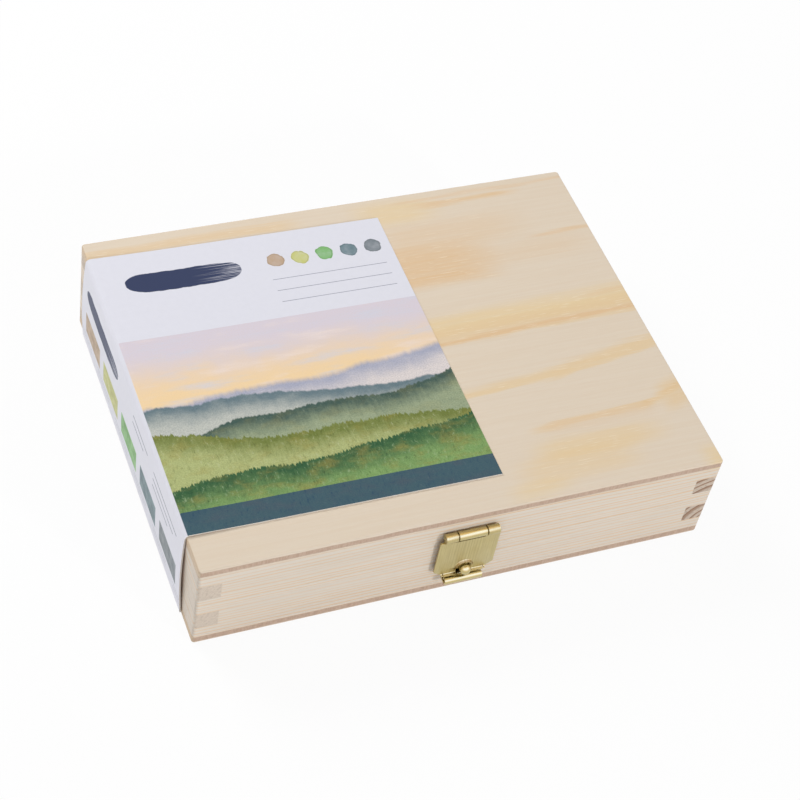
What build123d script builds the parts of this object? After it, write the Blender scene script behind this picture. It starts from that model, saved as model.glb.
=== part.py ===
from build123d import *
import math
import os

# Hinged wooden paint box with a brass latch, a card cover and five paint tubes.
# Millimetres. +X runs right along the front, +Y to the back, +Z up.
# The origin is the centre of the wooden box's underside.

# Wooden box
box_width = 165.0
box_depth = 130.0
box_height = 35.0
wall = 7.2
panel_thickness = 3.2
corner_radius = 1.0
arris_radius = 0.55
finger_height = 6.7
seam_height = 18.0
seam_gap = 0.12

# Brass screws with flush countersunk heads
screw_head_radius = 1.3
screw_head_angle = 90.0
screw_shank_radius = 0.65
screw_length = 5.5
screw_tip_length = 1.5
screw_slot_width = 0.4
screw_slot_depth = 0.3
screw_clearance = 0.04

# Two butt hinges let into the seam at the back
hinge_spacing = 92.0
hinge_length = 20.0
hinge_leaf_depth = 5.6
hinge_leaf_thickness = 0.7
hinge_barrel_radius = 1.5
hinge_barrel_gap = 0.3
hinge_knuckles = 3
hinge_screw_spacing = 12.0
hinge_seat_clearance = 0.1
knuckle_gap = 0.4
pin_radius = 0.65
pin_clearance = 0.05

# Latch on the lid's front
latch_sheet = 0.6
latch_axis_height = 28.1
latch_axis_out = 1.75
latch_barrel_radius = 1.45
latch_barrel_length = 17.0
latch_middle_knuckle = 8.8
latch_flap_width = 19.0
latch_shoulder_drop = 2.1
latch_window_drop = 3.0
latch_flap_low = 9.7
latch_chamfer_height = 1.8
latch_lip_width = 12.6
latch_lip_top = 10.4
latch_lip_length = 0.52
latch_lip_relief = 0.3
latch_bend_radius = 0.7
latch_bend_angle = 82.0
latch_corner_radius = 0.8
latch_plate_width = 13.0
latch_plate_height = 6.8
latch_screw_spacing = 8.0

# Catch on the base's front
catch_width = 12.0
catch_top = 16.4
catch_floor = 6.9
catch_bend_radius = 0.9
catch_roll_out = 2.8
catch_roll_radius = 1.15
catch_roll_turn = 250.0
catch_screw_height = 14.2
stud_height = 12.2
stud_radius = 1.75
stud_out = 3.0
stud_shank_radius = 1.0
stud_fit = 0.02
notch_clearance = 0.55
notch_rim_width = 0.8
notch_rim_rise = 0.65
notch_rim_slope = 40.0

# Folded card over the lid's top and the left side
card_thickness = 0.45
card_reach = 96.2
card_length = 109.8
card_back_margin = 7.7
card_back_slant = 1.2
card_front_slant = 0.8
card_foot_back_spread = 0.4
card_foot_front_spread = 1.9
card_flat_start = 20.0
card_crease_lift = 0.3
card_crease_bend = 1.3
card_crease_out = 0.32
card_bulge_out = 1.05
card_bottom_margin = 1.2

# Dividers and paint tubes inside the base
tube_count = 5
divider_thickness = 1.2
divider_height = 13.0
tube_diameter = 18.0
tube_body_length = 78.0
tube_crimp_length = 6.0
tube_crimp_thickness = 1.6
tube_shoulder_length = 3.5
tube_neck_radius = 4.2
tube_neck_length = 9.0
tube_floor_gap = 0.1
tube_back_gap = 1.0
cap_radius = 7.4
cap_nose_radius = 6.6
cap_length = 13.0
cap_grooves = 24
cap_groove_radius = 0.35
cap_bore_clearance = 0.08
cap_shoulder_gap = 0.4

# Places worked out from the sizes above
front_y = -box_depth / 2
back_y = box_depth / 2
frame_low = panel_thickness
frame_high = box_height - panel_thickness
frame_middle = box_height / 2
rim_low = seam_height - seam_gap / 2
rim_high = seam_height + seam_gap / 2
hinge_y = back_y + hinge_barrel_gap + hinge_barrel_radius
hinge_screw_y = back_y - hinge_leaf_depth / 2
lid_screw_plane = Plane(origin=(0, hinge_screw_y, rim_high), x_dir=(1, 0, 0), z_dir=(0, 0, -1))
base_screw_plane = Plane(origin=(0, hinge_screw_y, rim_low), x_dir=(1, 0, 0), z_dir=(0, 0, 1))
pin_bore_radius = pin_radius + pin_clearance
screw_hole_radius = screw_shank_radius + screw_clearance
screw_hole_depth = screw_length + screw_clearance
screw_sink_radius = screw_head_radius + screw_clearance
head_depth = (screw_head_radius - screw_shank_radius) / math.tan(math.radians(screw_head_angle / 2))
front_face = Plane.XZ.offset(box_depth / 2)
plate_face = front_face.offset(latch_sheet)
latch_axis_y = front_y - latch_axis_out
latch_screw_height = latch_axis_height - latch_shoulder_drop - latch_plate_height / 2
catch_sheet_y = front_y - latch_sheet / 2
catch_roll_line = catch_roll_radius - latch_sheet / 2
notch_radius = stud_radius + notch_clearance
inner_width = box_width - 2 * wall
inner_depth = box_depth - 2 * wall
bay_width = (inner_width - (tube_count - 1) * divider_thickness) / tube_count
bay_pitch = bay_width + divider_thickness
tube_radius = tube_diameter / 2
tube_crimp_width = math.pi * tube_diameter / 2
tube_axis_height = panel_thickness + tube_floor_gap + tube_radius
crimp_start_y = back_y - wall - tube_back_gap - tube_crimp_length
shoulder_y = crimp_start_y - tube_body_length
neck_y = shoulder_y - tube_shoulder_length

# Height bands of the fingers: the side rails' bands lie between the long rails' bands
side_bands = [
    (frame_middle - 1.5 * finger_height, frame_middle - 0.5 * finger_height),
    (frame_middle + 0.5 * finger_height, frame_middle + 1.5 * finger_height),
]
long_bands = [
    (frame_low, side_bands[0][0]),
    (side_bands[0][1], side_bands[1][0]),
    (side_bands[1][1], frame_high),
]

os.makedirs("parts", exist_ok=True)


def save(piece, label):
    """Label a finished piece and write it under its own name."""
    piece.label = label
    export_step(piece, f"parts/{label}.step")


def panel(low):
    """Plywood panel with rounded corners, from the given height up."""
    with BuildPart() as sheet:
        with BuildSketch(Plane.XY.offset(low)):
            RectangleRounded(box_width, box_depth, corner_radius)
        extrude(amount=panel_thickness)
    return sheet.part


def long_rail(facing, low, high):
    """Front (-1) or back (+1) rail, notched at its ends for the side rails' fingers."""
    with BuildPart() as rail:
        with BuildSketch(Plane.XY.offset(low)):
            RectangleRounded(box_width, box_depth, corner_radius)
            with Locations((0, facing * (box_depth - wall) / 2)):
                Rectangle(box_width, wall, mode=Mode.INTERSECT)
        extrude(amount=high - low)
        for band_low, band_high in side_bands:
            with BuildSketch(Plane.XY.offset(band_low)):
                with GridLocations(box_width - wall, box_depth - wall, 2, 2):
                    Rectangle(wall, wall)
            extrude(amount=band_high - band_low, mode=Mode.SUBTRACT)
    return rail.part


def side_rail(facing, low, high):
    """Left (-1) or right (+1) rail, notched at its ends for the long rails' fingers."""
    with BuildPart() as rail:
        with BuildSketch(Plane.XY.offset(low)):
            RectangleRounded(box_width, box_depth, corner_radius)
            with Locations((facing * (box_width - wall) / 2, 0)):
                Rectangle(wall, box_depth, mode=Mode.INTERSECT)
        extrude(amount=high - low)
        for band_low, band_high in long_bands:
            with BuildSketch(Plane.XY.offset(band_low)):
                with GridLocations(box_width - wall, box_depth - wall, 2, 2):
                    Rectangle(wall, wall)
            extrude(amount=band_high - band_low, mode=Mode.SUBTRACT)
    return rail.part


# Panels
with BuildPart() as lid_panel:
    add(panel(frame_high))
    fillet(lid_panel.faces().sort_by(Axis.Z)[-1].edges(), radius=arris_radius)
save(lid_panel.part, "lid_panel")

with BuildPart() as base_panel:
    add(panel(0))
    fillet(base_panel.faces().sort_by(Axis.Z)[0].edges(), radius=arris_radius)
save(base_panel.part, "base_panel")

# Side rails
save(side_rail(-1, rim_high, frame_high), "lid_left_rail")
save(side_rail(1, rim_high, frame_high), "lid_right_rail")
save(side_rail(-1, frame_low, rim_low), "base_left_rail")
save(side_rail(1, frame_low, rim_low), "base_right_rail")

# Front rails, drilled for the latch's and the catch's screws
with BuildPart() as lid_front_rail:
    add(long_rail(-1, rim_high, frame_high))
    with Locations(plate_face):
        with Locations((0, latch_screw_height)):
            with GridLocations(latch_screw_spacing, 1, 2, 1):
                CounterSinkHole(screw_hole_radius, screw_sink_radius, screw_hole_depth, screw_head_angle)
save(lid_front_rail.part, "lid_front_rail")

with BuildPart() as base_front_rail:
    add(long_rail(-1, frame_low, rim_low))
    with Locations(plate_face):
        with Locations((0, catch_screw_height)):
            with GridLocations(latch_screw_spacing, 1, 2, 1):
                CounterSinkHole(screw_hole_radius, screw_sink_radius, screw_hole_depth, screw_head_angle)
save(base_front_rail.part, "base_front_rail")

# Back rails, with seats for the hinge leaves and holes for their screws
seat_length = hinge_length + 2 * hinge_seat_clearance
seat_depth = hinge_leaf_depth + hinge_seat_clearance
with BuildPart() as lid_back_rail:
    add(long_rail(1, rim_high, frame_high))
    with BuildSketch(Plane.XY.offset(rim_high)):
        with Locations((0, back_y - seat_depth / 2)):
            with GridLocations(hinge_spacing, 1, 2, 1):
                Rectangle(seat_length, seat_depth)
    extrude(amount=hinge_leaf_thickness, mode=Mode.SUBTRACT)
    with Locations(lid_screw_plane):
        with GridLocations(hinge_spacing, 1, 2, 1):
            with GridLocations(hinge_screw_spacing, 1, 2, 1):
                CounterSinkHole(screw_hole_radius, screw_sink_radius, screw_hole_depth, screw_head_angle)
save(lid_back_rail.part, "lid_back_rail")

with BuildPart() as base_back_rail:
    add(long_rail(1, frame_low, rim_low))
    with BuildSketch(Plane.XY.offset(rim_low)):
        with Locations((0, back_y - seat_depth / 2)):
            with GridLocations(hinge_spacing, 1, 2, 1):
                Rectangle(seat_length, seat_depth)
    extrude(amount=-hinge_leaf_thickness, mode=Mode.SUBTRACT)
    with Locations(base_screw_plane):
        with GridLocations(hinge_spacing, 1, 2, 1):
            with GridLocations(hinge_screw_spacing, 1, 2, 1):
                CounterSinkHole(screw_hole_radius, screw_sink_radius, screw_hole_depth, screw_head_angle)
save(base_back_rail.part, "base_back_rail")

# One screw, with its head's flat face at the origin and its point towards -Z
with BuildPart() as screw:
    with BuildSketch(Plane.XZ):
        with BuildLine():
            Polyline(
                (0, 0),
                (screw_head_radius, 0),
                (screw_shank_radius, -head_depth),
                (screw_shank_radius, screw_tip_length - screw_length),
                (0, -screw_length),
                close=True,
            )
        make_face()
    revolve(axis=Axis.Z)
    with Locations((0, 0, -screw_slot_depth / 2)):
        Box(2 * screw_head_radius, screw_slot_width, screw_slot_depth, mode=Mode.SUBTRACT)

with BuildPart() as hinge_screws_lid:
    with Locations((0, hinge_screw_y, rim_high)):
        with GridLocations(hinge_spacing, 1, 2, 1):
            with GridLocations(hinge_screw_spacing, 1, 2, 1):
                add(screw.part, rotation=(180, 0, 0))
save(hinge_screws_lid.part, "hinge_screws_lid")

with BuildPart() as hinge_screws_base:
    with Locations((0, hinge_screw_y, rim_low)):
        with GridLocations(hinge_spacing, 1, 2, 1):
            with GridLocations(hinge_screw_spacing, 1, 2, 1):
                add(screw.part)
save(hinge_screws_base.part, "hinge_screws_base")

with BuildPart() as latch_screws:
    with Locations((0, front_y - latch_sheet, latch_screw_height)):
        with GridLocations(latch_screw_spacing, 1, 2, 1):
            add(screw.part, rotation=(90, 0, 0))
save(latch_screws.part, "latch_screws")

with BuildPart() as catch_screws:
    with Locations((0, front_y - latch_sheet, catch_screw_height)):
        with GridLocations(latch_screw_spacing, 1, 2, 1):
            add(screw.part, rotation=(90, 0, 0))
save(catch_screws.part, "catch_screws")


def hinge_leaf(hinge_x, screw_plane, owned):
    """Leaf let into the rim that the screws enter along the plane's -Z, with its knuckles."""
    rim = screw_plane.origin.Z
    knuckle_length = hinge_length / hinge_knuckles
    with BuildPart() as leaf:
        with BuildSketch(Plane.XY.offset(rim)):
            with Locations((hinge_x, back_y - hinge_leaf_depth / 2)):
                Rectangle(hinge_length, hinge_leaf_depth)
            neck_length = hinge_y - back_y
            for index in owned:
                knuckle_x = hinge_x + (index - (hinge_knuckles - 1) / 2) * knuckle_length
                with Locations((knuckle_x, back_y + neck_length / 2)):
                    Rectangle(knuckle_length - knuckle_gap, neck_length)
        extrude(amount=-screw_plane.z_dir.Z * hinge_leaf_thickness)
        for index in owned:
            knuckle_x = hinge_x + (index - (hinge_knuckles - 1) / 2) * knuckle_length
            with BuildSketch(Plane.YZ.offset(knuckle_x)):
                with Locations((hinge_y, seam_height)):
                    Circle(hinge_barrel_radius)
            extrude(amount=(knuckle_length - knuckle_gap) / 2, both=True)
        with BuildSketch(Plane.YZ.offset(hinge_x)):
            with Locations((hinge_y, seam_height)):
                Circle(pin_bore_radius)
        extrude(amount=hinge_length, both=True, mode=Mode.SUBTRACT)
        with Locations(screw_plane):
            with Locations((hinge_x, 0)):
                with GridLocations(hinge_screw_spacing, 1, 2, 1):
                    CounterSinkHole(screw_hole_radius, screw_sink_radius, screw_length, screw_head_angle)
    return leaf.part


# Hinges: the lid's leaf has the odd knuckles, the base's leaf the even ones with the pin
for side, hinge_x in (("left", -hinge_spacing / 2), ("right", hinge_spacing / 2)):
    lid_knuckles = range(1, hinge_knuckles, 2)
    base_knuckles = range(0, hinge_knuckles, 2)
    save(hinge_leaf(hinge_x, lid_screw_plane, lid_knuckles), f"{side}_hinge_lid_leaf")
    save(hinge_leaf(hinge_x, base_screw_plane, base_knuckles), f"{side}_hinge_base_leaf")
    with BuildPart() as hinge_pin:
        with BuildSketch(Plane.YZ.offset(hinge_x)):
            with Locations((hinge_y, seam_height)):
                Circle(pin_radius)
        extrude(amount=(hinge_length - knuckle_gap) / 2, both=True)
    save(hinge_pin.part, f"{side}_hinge_pin")

# Latch backplate with the middle knuckle
plate_top = latch_axis_height - latch_shoulder_drop
with BuildPart() as latch_backplate:
    with BuildSketch(front_face):
        with Locations((0, plate_top - latch_plate_height / 2)):
            Rectangle(latch_plate_width, latch_plate_height)
        with Locations((0, (plate_top + latch_axis_height) / 2)):
            Rectangle(latch_middle_knuckle, latch_shoulder_drop)
    extrude(amount=latch_sheet)
    with BuildSketch(Plane.YZ):
        with Locations((latch_axis_y, latch_axis_height)):
            Circle(latch_barrel_radius)
    extrude(amount=latch_middle_knuckle / 2, both=True)
    with BuildSketch(Plane.YZ):
        with Locations((latch_axis_y, latch_axis_height)):
            Circle(pin_bore_radius)
    extrude(amount=latch_middle_knuckle, both=True, mode=Mode.SUBTRACT)
    with Locations(plate_face):
        with Locations((0, latch_screw_height)):
            with GridLocations(latch_screw_spacing, 1, 2, 1):
                CounterSinkHole(screw_hole_radius, screw_sink_radius, screw_length, screw_head_angle)
save(latch_backplate.part, "latch_backplate")

with BuildPart() as latch_pin:
    with BuildSketch(Plane.YZ):
        with Locations((latch_axis_y, latch_axis_height)):
            Circle(pin_radius)
    extrude(amount=latch_barrel_length / 2, both=True)
save(latch_pin.part, "latch_pin")

# Latch flap: a sheet bent back from the barrel's front, straight down, then out at its lip
flap_centre_y = latch_axis_y + latch_sheet / 2
barrel_sheet_y = flap_centre_y - latch_barrel_radius
joggle_angle = 2 * math.atan(latch_barrel_radius / latch_window_drop)
joggle_radius = latch_window_drop / (2 * math.sin(joggle_angle))
joggle_turn = math.degrees(joggle_angle)
flap_side_low = latch_flap_low + latch_chamfer_height
flap_shoulder = latch_axis_height - latch_shoulder_drop
flap_window = latch_axis_height - latch_window_drop
half_flap = latch_flap_width / 2
half_barrel = latch_barrel_length / 2
half_window = latch_middle_knuckle / 2 + knuckle_gap
half_lip = latch_lip_width / 2
half_low = half_lip + latch_lip_relief
with BuildPart() as latch_flap:
    with BuildSketch(Plane.YZ):
        with BuildLine() as flap_side:
            leave = JernArc((barrel_sheet_y, latch_axis_height), (0, -1), joggle_radius, joggle_turn)
            meet = JernArc(leave @ 1, leave % 1, joggle_radius, -joggle_turn)
            hang = Line(meet @ 1, (flap_centre_y, latch_lip_top))
            flare = JernArc(hang @ 1, hang % 1, latch_bend_radius, -latch_bend_angle)
            Line(flare @ 1, flare @ 1 + flare % 1 * latch_lip_length)
        trace(line_width=latch_sheet)
    extrude(amount=half_flap, both=True)
    with BuildSketch(front_face) as flap_front:
        with BuildLine():
            Polyline(
                (0, flap_window),
                (half_window, flap_window),
                (half_window, latch_axis_height),
                (half_barrel, latch_axis_height),
                (half_barrel, flap_shoulder),
                (half_flap, flap_shoulder),
                (half_flap, flap_side_low),
                (half_low, latch_flap_low),
                (half_low, latch_lip_top),
                (half_lip, latch_lip_top),
                (half_lip, frame_low),
                (0, frame_low),
            )
            mirror(about=Plane.YZ)
        make_face()
        outer_corners = flap_front.vertices().filter_by_position(
            Axis.Y, latch_flap_low, flap_shoulder
        )
        fillet(
            outer_corners.group_by(Axis.X)[0] + outer_corners.group_by(Axis.X)[-1],
            radius=latch_corner_radius,
        )
    extrude(amount=latch_axis_out + latch_barrel_radius, mode=Mode.INTERSECT)
    knuckle_centre = (half_window + half_barrel) / 2
    for side in (-1, 1):
        with BuildSketch(Plane.YZ.offset(side * knuckle_centre)):
            with Locations((latch_axis_y, latch_axis_height)):
                Circle(latch_barrel_radius)
        extrude(amount=(half_barrel - half_window) / 2, both=True)
    with BuildSketch(Plane.YZ):
        with Locations((latch_axis_y, latch_axis_height)):
            Circle(pin_bore_radius)
    extrude(amount=half_barrel, both=True, mode=Mode.SUBTRACT)
    with BuildSketch(front_face.offset(latch_axis_out)):
        with Locations((0, stud_height)):
            Circle(notch_radius + notch_rim_width)
        with Locations((0, stud_height / 2)):
            Rectangle(latch_flap_width, stud_height, mode=Mode.SUBTRACT)
    extrude(amount=notch_rim_rise, taper=notch_rim_slope)
    with BuildSketch(front_face):
        with Locations((0, stud_height)):
            Circle(notch_radius)
        with Locations((0, stud_height / 2)):
            Rectangle(2 * notch_radius, stud_height)
    extrude(amount=latch_axis_out + latch_barrel_radius, mode=Mode.SUBTRACT)
save(latch_flap.part, "latch_flap")

# Catch plate: its lower edge turns out in a ledge and curls up
with BuildPart() as catch_plate:
    with BuildSketch(Plane.YZ):
        with BuildLine():
            drop = Line((catch_sheet_y, catch_top), (catch_sheet_y, catch_floor + catch_bend_radius))
            turn = JernArc(drop @ 1, drop % 1, catch_bend_radius, -90)
            ledge = Line(turn @ 1, (front_y - catch_roll_out, catch_floor))
            JernArc(ledge @ 1, ledge % 1, catch_roll_line, -catch_roll_turn)
        trace(line_width=latch_sheet)
    extrude(amount=catch_width / 2, both=True)
    with BuildSketch(front_face):
        with Locations((0, stud_height)):
            Circle(stud_shank_radius + stud_fit)
    extrude(amount=latch_sheet, mode=Mode.SUBTRACT)
    with Locations(plate_face):
        with Locations((0, catch_screw_height)):
            with GridLocations(latch_screw_spacing, 1, 2, 1):
                CounterSinkHole(screw_hole_radius, screw_sink_radius, screw_length, screw_head_angle)
save(catch_plate.part, "catch_plate")

# Ball-headed stud riveted to the catch plate, standing in the flap's notch
stud_y = front_y - stud_out
stud_neck_y = stud_y + math.sqrt(stud_radius**2 - stud_shank_radius**2)
with BuildPart() as catch_stud:
    with BuildSketch(Plane.YZ):
        with BuildLine():
            foot = Polyline(
                (stud_y - stud_radius, stud_height),
                (front_y, stud_height),
                (front_y, stud_height + stud_shank_radius),
                (stud_neck_y, stud_height + stud_shank_radius),
            )
            ThreePointArc(foot @ 1, (stud_y, stud_height + stud_radius), foot @ 0)
        make_face()
    revolve(axis=Axis((0, front_y, stud_height), (0, 1, 0)))
save(catch_stud.part, "catch_stud")

# Card: its outlines from above and from the left, cut to one folded sheet
card_plane = Plane(origin=(-box_width / 2, 0, box_height), x_dir=(1, 0, 0), z_dir=(0, -1, 0))
card_level = card_thickness / 2
card_right_x = card_reach - box_width / 2
card_back_y = back_y - card_back_margin
card_front_y = card_back_y - card_length
crease_x = card_crease_bend - card_crease_out - box_width / 2
crease_low = box_height - card_crease_bend
crease_high = box_height + card_crease_bend
with BuildPart() as card_cover:
    with BuildSketch(Plane.XY.offset(crease_low)):
        with BuildLine():
            Polyline(
                (crease_x, card_back_y),
                (card_right_x, card_back_y - card_back_slant),
                (card_right_x, card_front_y - card_front_slant),
                (crease_x, card_front_y),
                close=True,
            )
        make_face()
    extrude(amount=crease_high - crease_low)
    with BuildSketch(Plane.YZ.offset(crease_x)):
        with BuildLine():
            Polyline(
                (card_back_y, crease_high),
                (card_back_y, crease_low),
                (card_back_y + card_foot_back_spread, card_bottom_margin),
                (card_front_y - card_foot_front_spread, card_bottom_margin),
                (card_front_y, crease_low),
                (card_front_y, crease_high),
                close=True,
            )
        make_face()
    extrude(amount=-2 * card_crease_bend)
    with BuildSketch(card_plane):
        with BuildLine():
            flat = Line((box_width, card_level), (card_flat_start, card_level))
            rise = Line(flat @ 1, (card_crease_bend - card_crease_out, card_level + card_crease_lift))
            crease = JernArc(rise @ 1, rise % 1, card_crease_bend, 90)
            ThreePointArc(crease @ 1, (-card_bulge_out, -box_height / 2), (-card_crease_out, -box_height))
        trace(line_width=card_thickness)
    extrude(amount=box_depth / 2, both=True, mode=Mode.INTERSECT)
save(card_cover.part, "card_cover")

# Dividers between the tubes
for index in range(tube_count - 1):
    divider_x = (index + 1 - tube_count / 2) * bay_pitch
    with BuildPart() as divider:
        with BuildSketch(Plane.XY.offset(panel_thickness)):
            with Locations((divider_x, 0)):
                Rectangle(divider_thickness, inner_depth)
        extrude(amount=divider_height)
    save(divider.part, f"divider_{index + 1}")


def paint_tube(tube_x):
    """Full metal tube: round at the shoulder, pressed flat and folded at the back."""
    with BuildPart() as tube:
        for share in (0.0, 0.5, 1.0):
            section_y = shoulder_y + share * tube_body_length
            half_width = tube_radius + share * (tube_crimp_width / 2 - tube_radius)
            half_height = tube_radius + share * (tube_crimp_thickness / 2 - tube_radius)
            with BuildSketch(Plane.XZ.offset(-section_y)):
                with Locations((tube_x, tube_axis_height)):
                    Ellipse(half_width, half_height)
        loft()
        with BuildSketch(Plane.XZ.offset(-crimp_start_y)):
            with Locations((tube_x, tube_axis_height)):
                Rectangle(tube_crimp_width, tube_crimp_thickness)
        extrude(amount=-tube_crimp_length)
        with BuildSketch(Plane.XZ.offset(-shoulder_y)):
            with Locations((tube_x, tube_axis_height)):
                Circle(tube_radius)
        with BuildSketch(Plane.XZ.offset(-neck_y)):
            with Locations((tube_x, tube_axis_height)):
                Circle(tube_neck_radius)
        loft()
        with BuildSketch(Plane.XZ.offset(-neck_y)):
            with Locations((tube_x, tube_axis_height)):
                Circle(tube_neck_radius)
        extrude(amount=tube_neck_length)
    return tube.part


def tube_cap(tube_x):
    """Ribbed screw cap over the tube's neck."""
    cap_y = neck_y - cap_shoulder_gap
    with BuildPart() as cap:
        with BuildSketch(Plane.XZ.offset(-cap_y)):
            with Locations((tube_x, tube_axis_height)):
                Circle(cap_radius)
        with BuildSketch(Plane.XZ.offset(cap_length - cap_y)):
            with Locations((tube_x, tube_axis_height)):
                Circle(cap_nose_radius)
        loft()
        with BuildSketch(Plane.XZ.offset(-cap_y)):
            with Locations((tube_x, tube_axis_height)):
                with PolarLocations(cap_radius, cap_grooves):
                    Circle(cap_groove_radius)
        extrude(amount=cap_length, mode=Mode.SUBTRACT)
        with BuildSketch(Plane.XZ.offset(-cap_y)):
            with Locations((tube_x, tube_axis_height)):
                Circle(tube_neck_radius + cap_bore_clearance)
        extrude(amount=tube_neck_length, mode=Mode.SUBTRACT)
    return cap.part


# Tubes and caps, one in each bay
for index in range(tube_count):
    bay_x = (index - (tube_count - 1) / 2) * bay_pitch
    save(paint_tube(bay_x), f"paint_tube_{index + 1}")
    save(tube_cap(bay_x), f"tube_cap_{index + 1}")
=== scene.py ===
"""Looks of a hinged wooden paint box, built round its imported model.

The box is finger-jointed pine between plywood panels, with a brass latch and hinges, a printed
card folded over the lid, and five metal paint tubes in their bays. Metres; +X runs right along
the latch side, +Y goes to the hinges, +Z up. Patterns are worked out in millimetres.
"""

import logging
import math
from dataclasses import dataclass, field
from enum import Enum
from typing import ClassVar, Optional, Sequence, Union

import bmesh
import bpy
from mathutils import Matrix, Vector


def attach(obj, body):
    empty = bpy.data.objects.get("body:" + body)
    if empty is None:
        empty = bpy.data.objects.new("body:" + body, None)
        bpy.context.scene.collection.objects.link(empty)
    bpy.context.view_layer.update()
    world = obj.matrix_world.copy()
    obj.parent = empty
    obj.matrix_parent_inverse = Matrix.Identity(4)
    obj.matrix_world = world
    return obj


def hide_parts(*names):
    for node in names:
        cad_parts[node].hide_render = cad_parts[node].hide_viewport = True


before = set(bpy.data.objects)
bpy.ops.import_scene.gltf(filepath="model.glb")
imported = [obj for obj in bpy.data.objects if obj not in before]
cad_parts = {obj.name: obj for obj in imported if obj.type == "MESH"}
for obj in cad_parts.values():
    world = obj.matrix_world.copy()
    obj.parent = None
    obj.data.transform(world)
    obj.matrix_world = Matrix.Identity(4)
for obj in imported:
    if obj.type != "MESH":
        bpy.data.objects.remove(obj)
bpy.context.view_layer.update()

MM = 0.001
Socket = bpy.types.NodeSocket
Value = Union[Socket, float, Sequence[float]]
Colour = tuple[float, float, float]
Point = tuple[float, float, float]
logging.basicConfig(level=logging.INFO, format="%(message)s")
log = logging.getLogger("paint_box")

BOX_WIDTH, BOX_DEPTH, BOX_HEIGHT = 165.0, 130.0, 35.0
TUBE_PITCH, TUBE_AXIS = 30.36, 12.3
MAP_MM = 100.0
NAVY = (33, 48, 86)
WORN_METAL = (200, 202, 206)
SWATCH_COLOURS = ((186, 158, 128), (197, 198, 116), (116, 178, 98), (92, 120, 128), (112, 122, 128))


def srgb(colour: Colour) -> tuple[float, float, float, float]:
    """Turn a display colour of 0 to 255 into the linear colour that shaders take.

    Args:
        colour: Red, green and blue of the display colour.

    Returns:
        Linear red, green and blue, with a full alpha.
    """
    def linear(channel: float) -> float:
        """Linear value of one channel."""
        share = channel / 255
        return share / 12.92 if share <= 0.04045 else ((share + 0.055) / 1.055) ** 2.4

    return (*(linear(channel) for channel in colour), 1.0)


def toward(colour: Colour, share: float, goal: float = 0.0) -> Colour:
    """Move a display colour towards a grey level.

    Args:
        colour: The display colour.
        share: How far it moves, from 0 to 1.
        goal: The grey level, which is black if none is given.

    Returns:
        The new display colour.
    """
    return tuple(channel + share * (goal - channel) for channel in colour)


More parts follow.
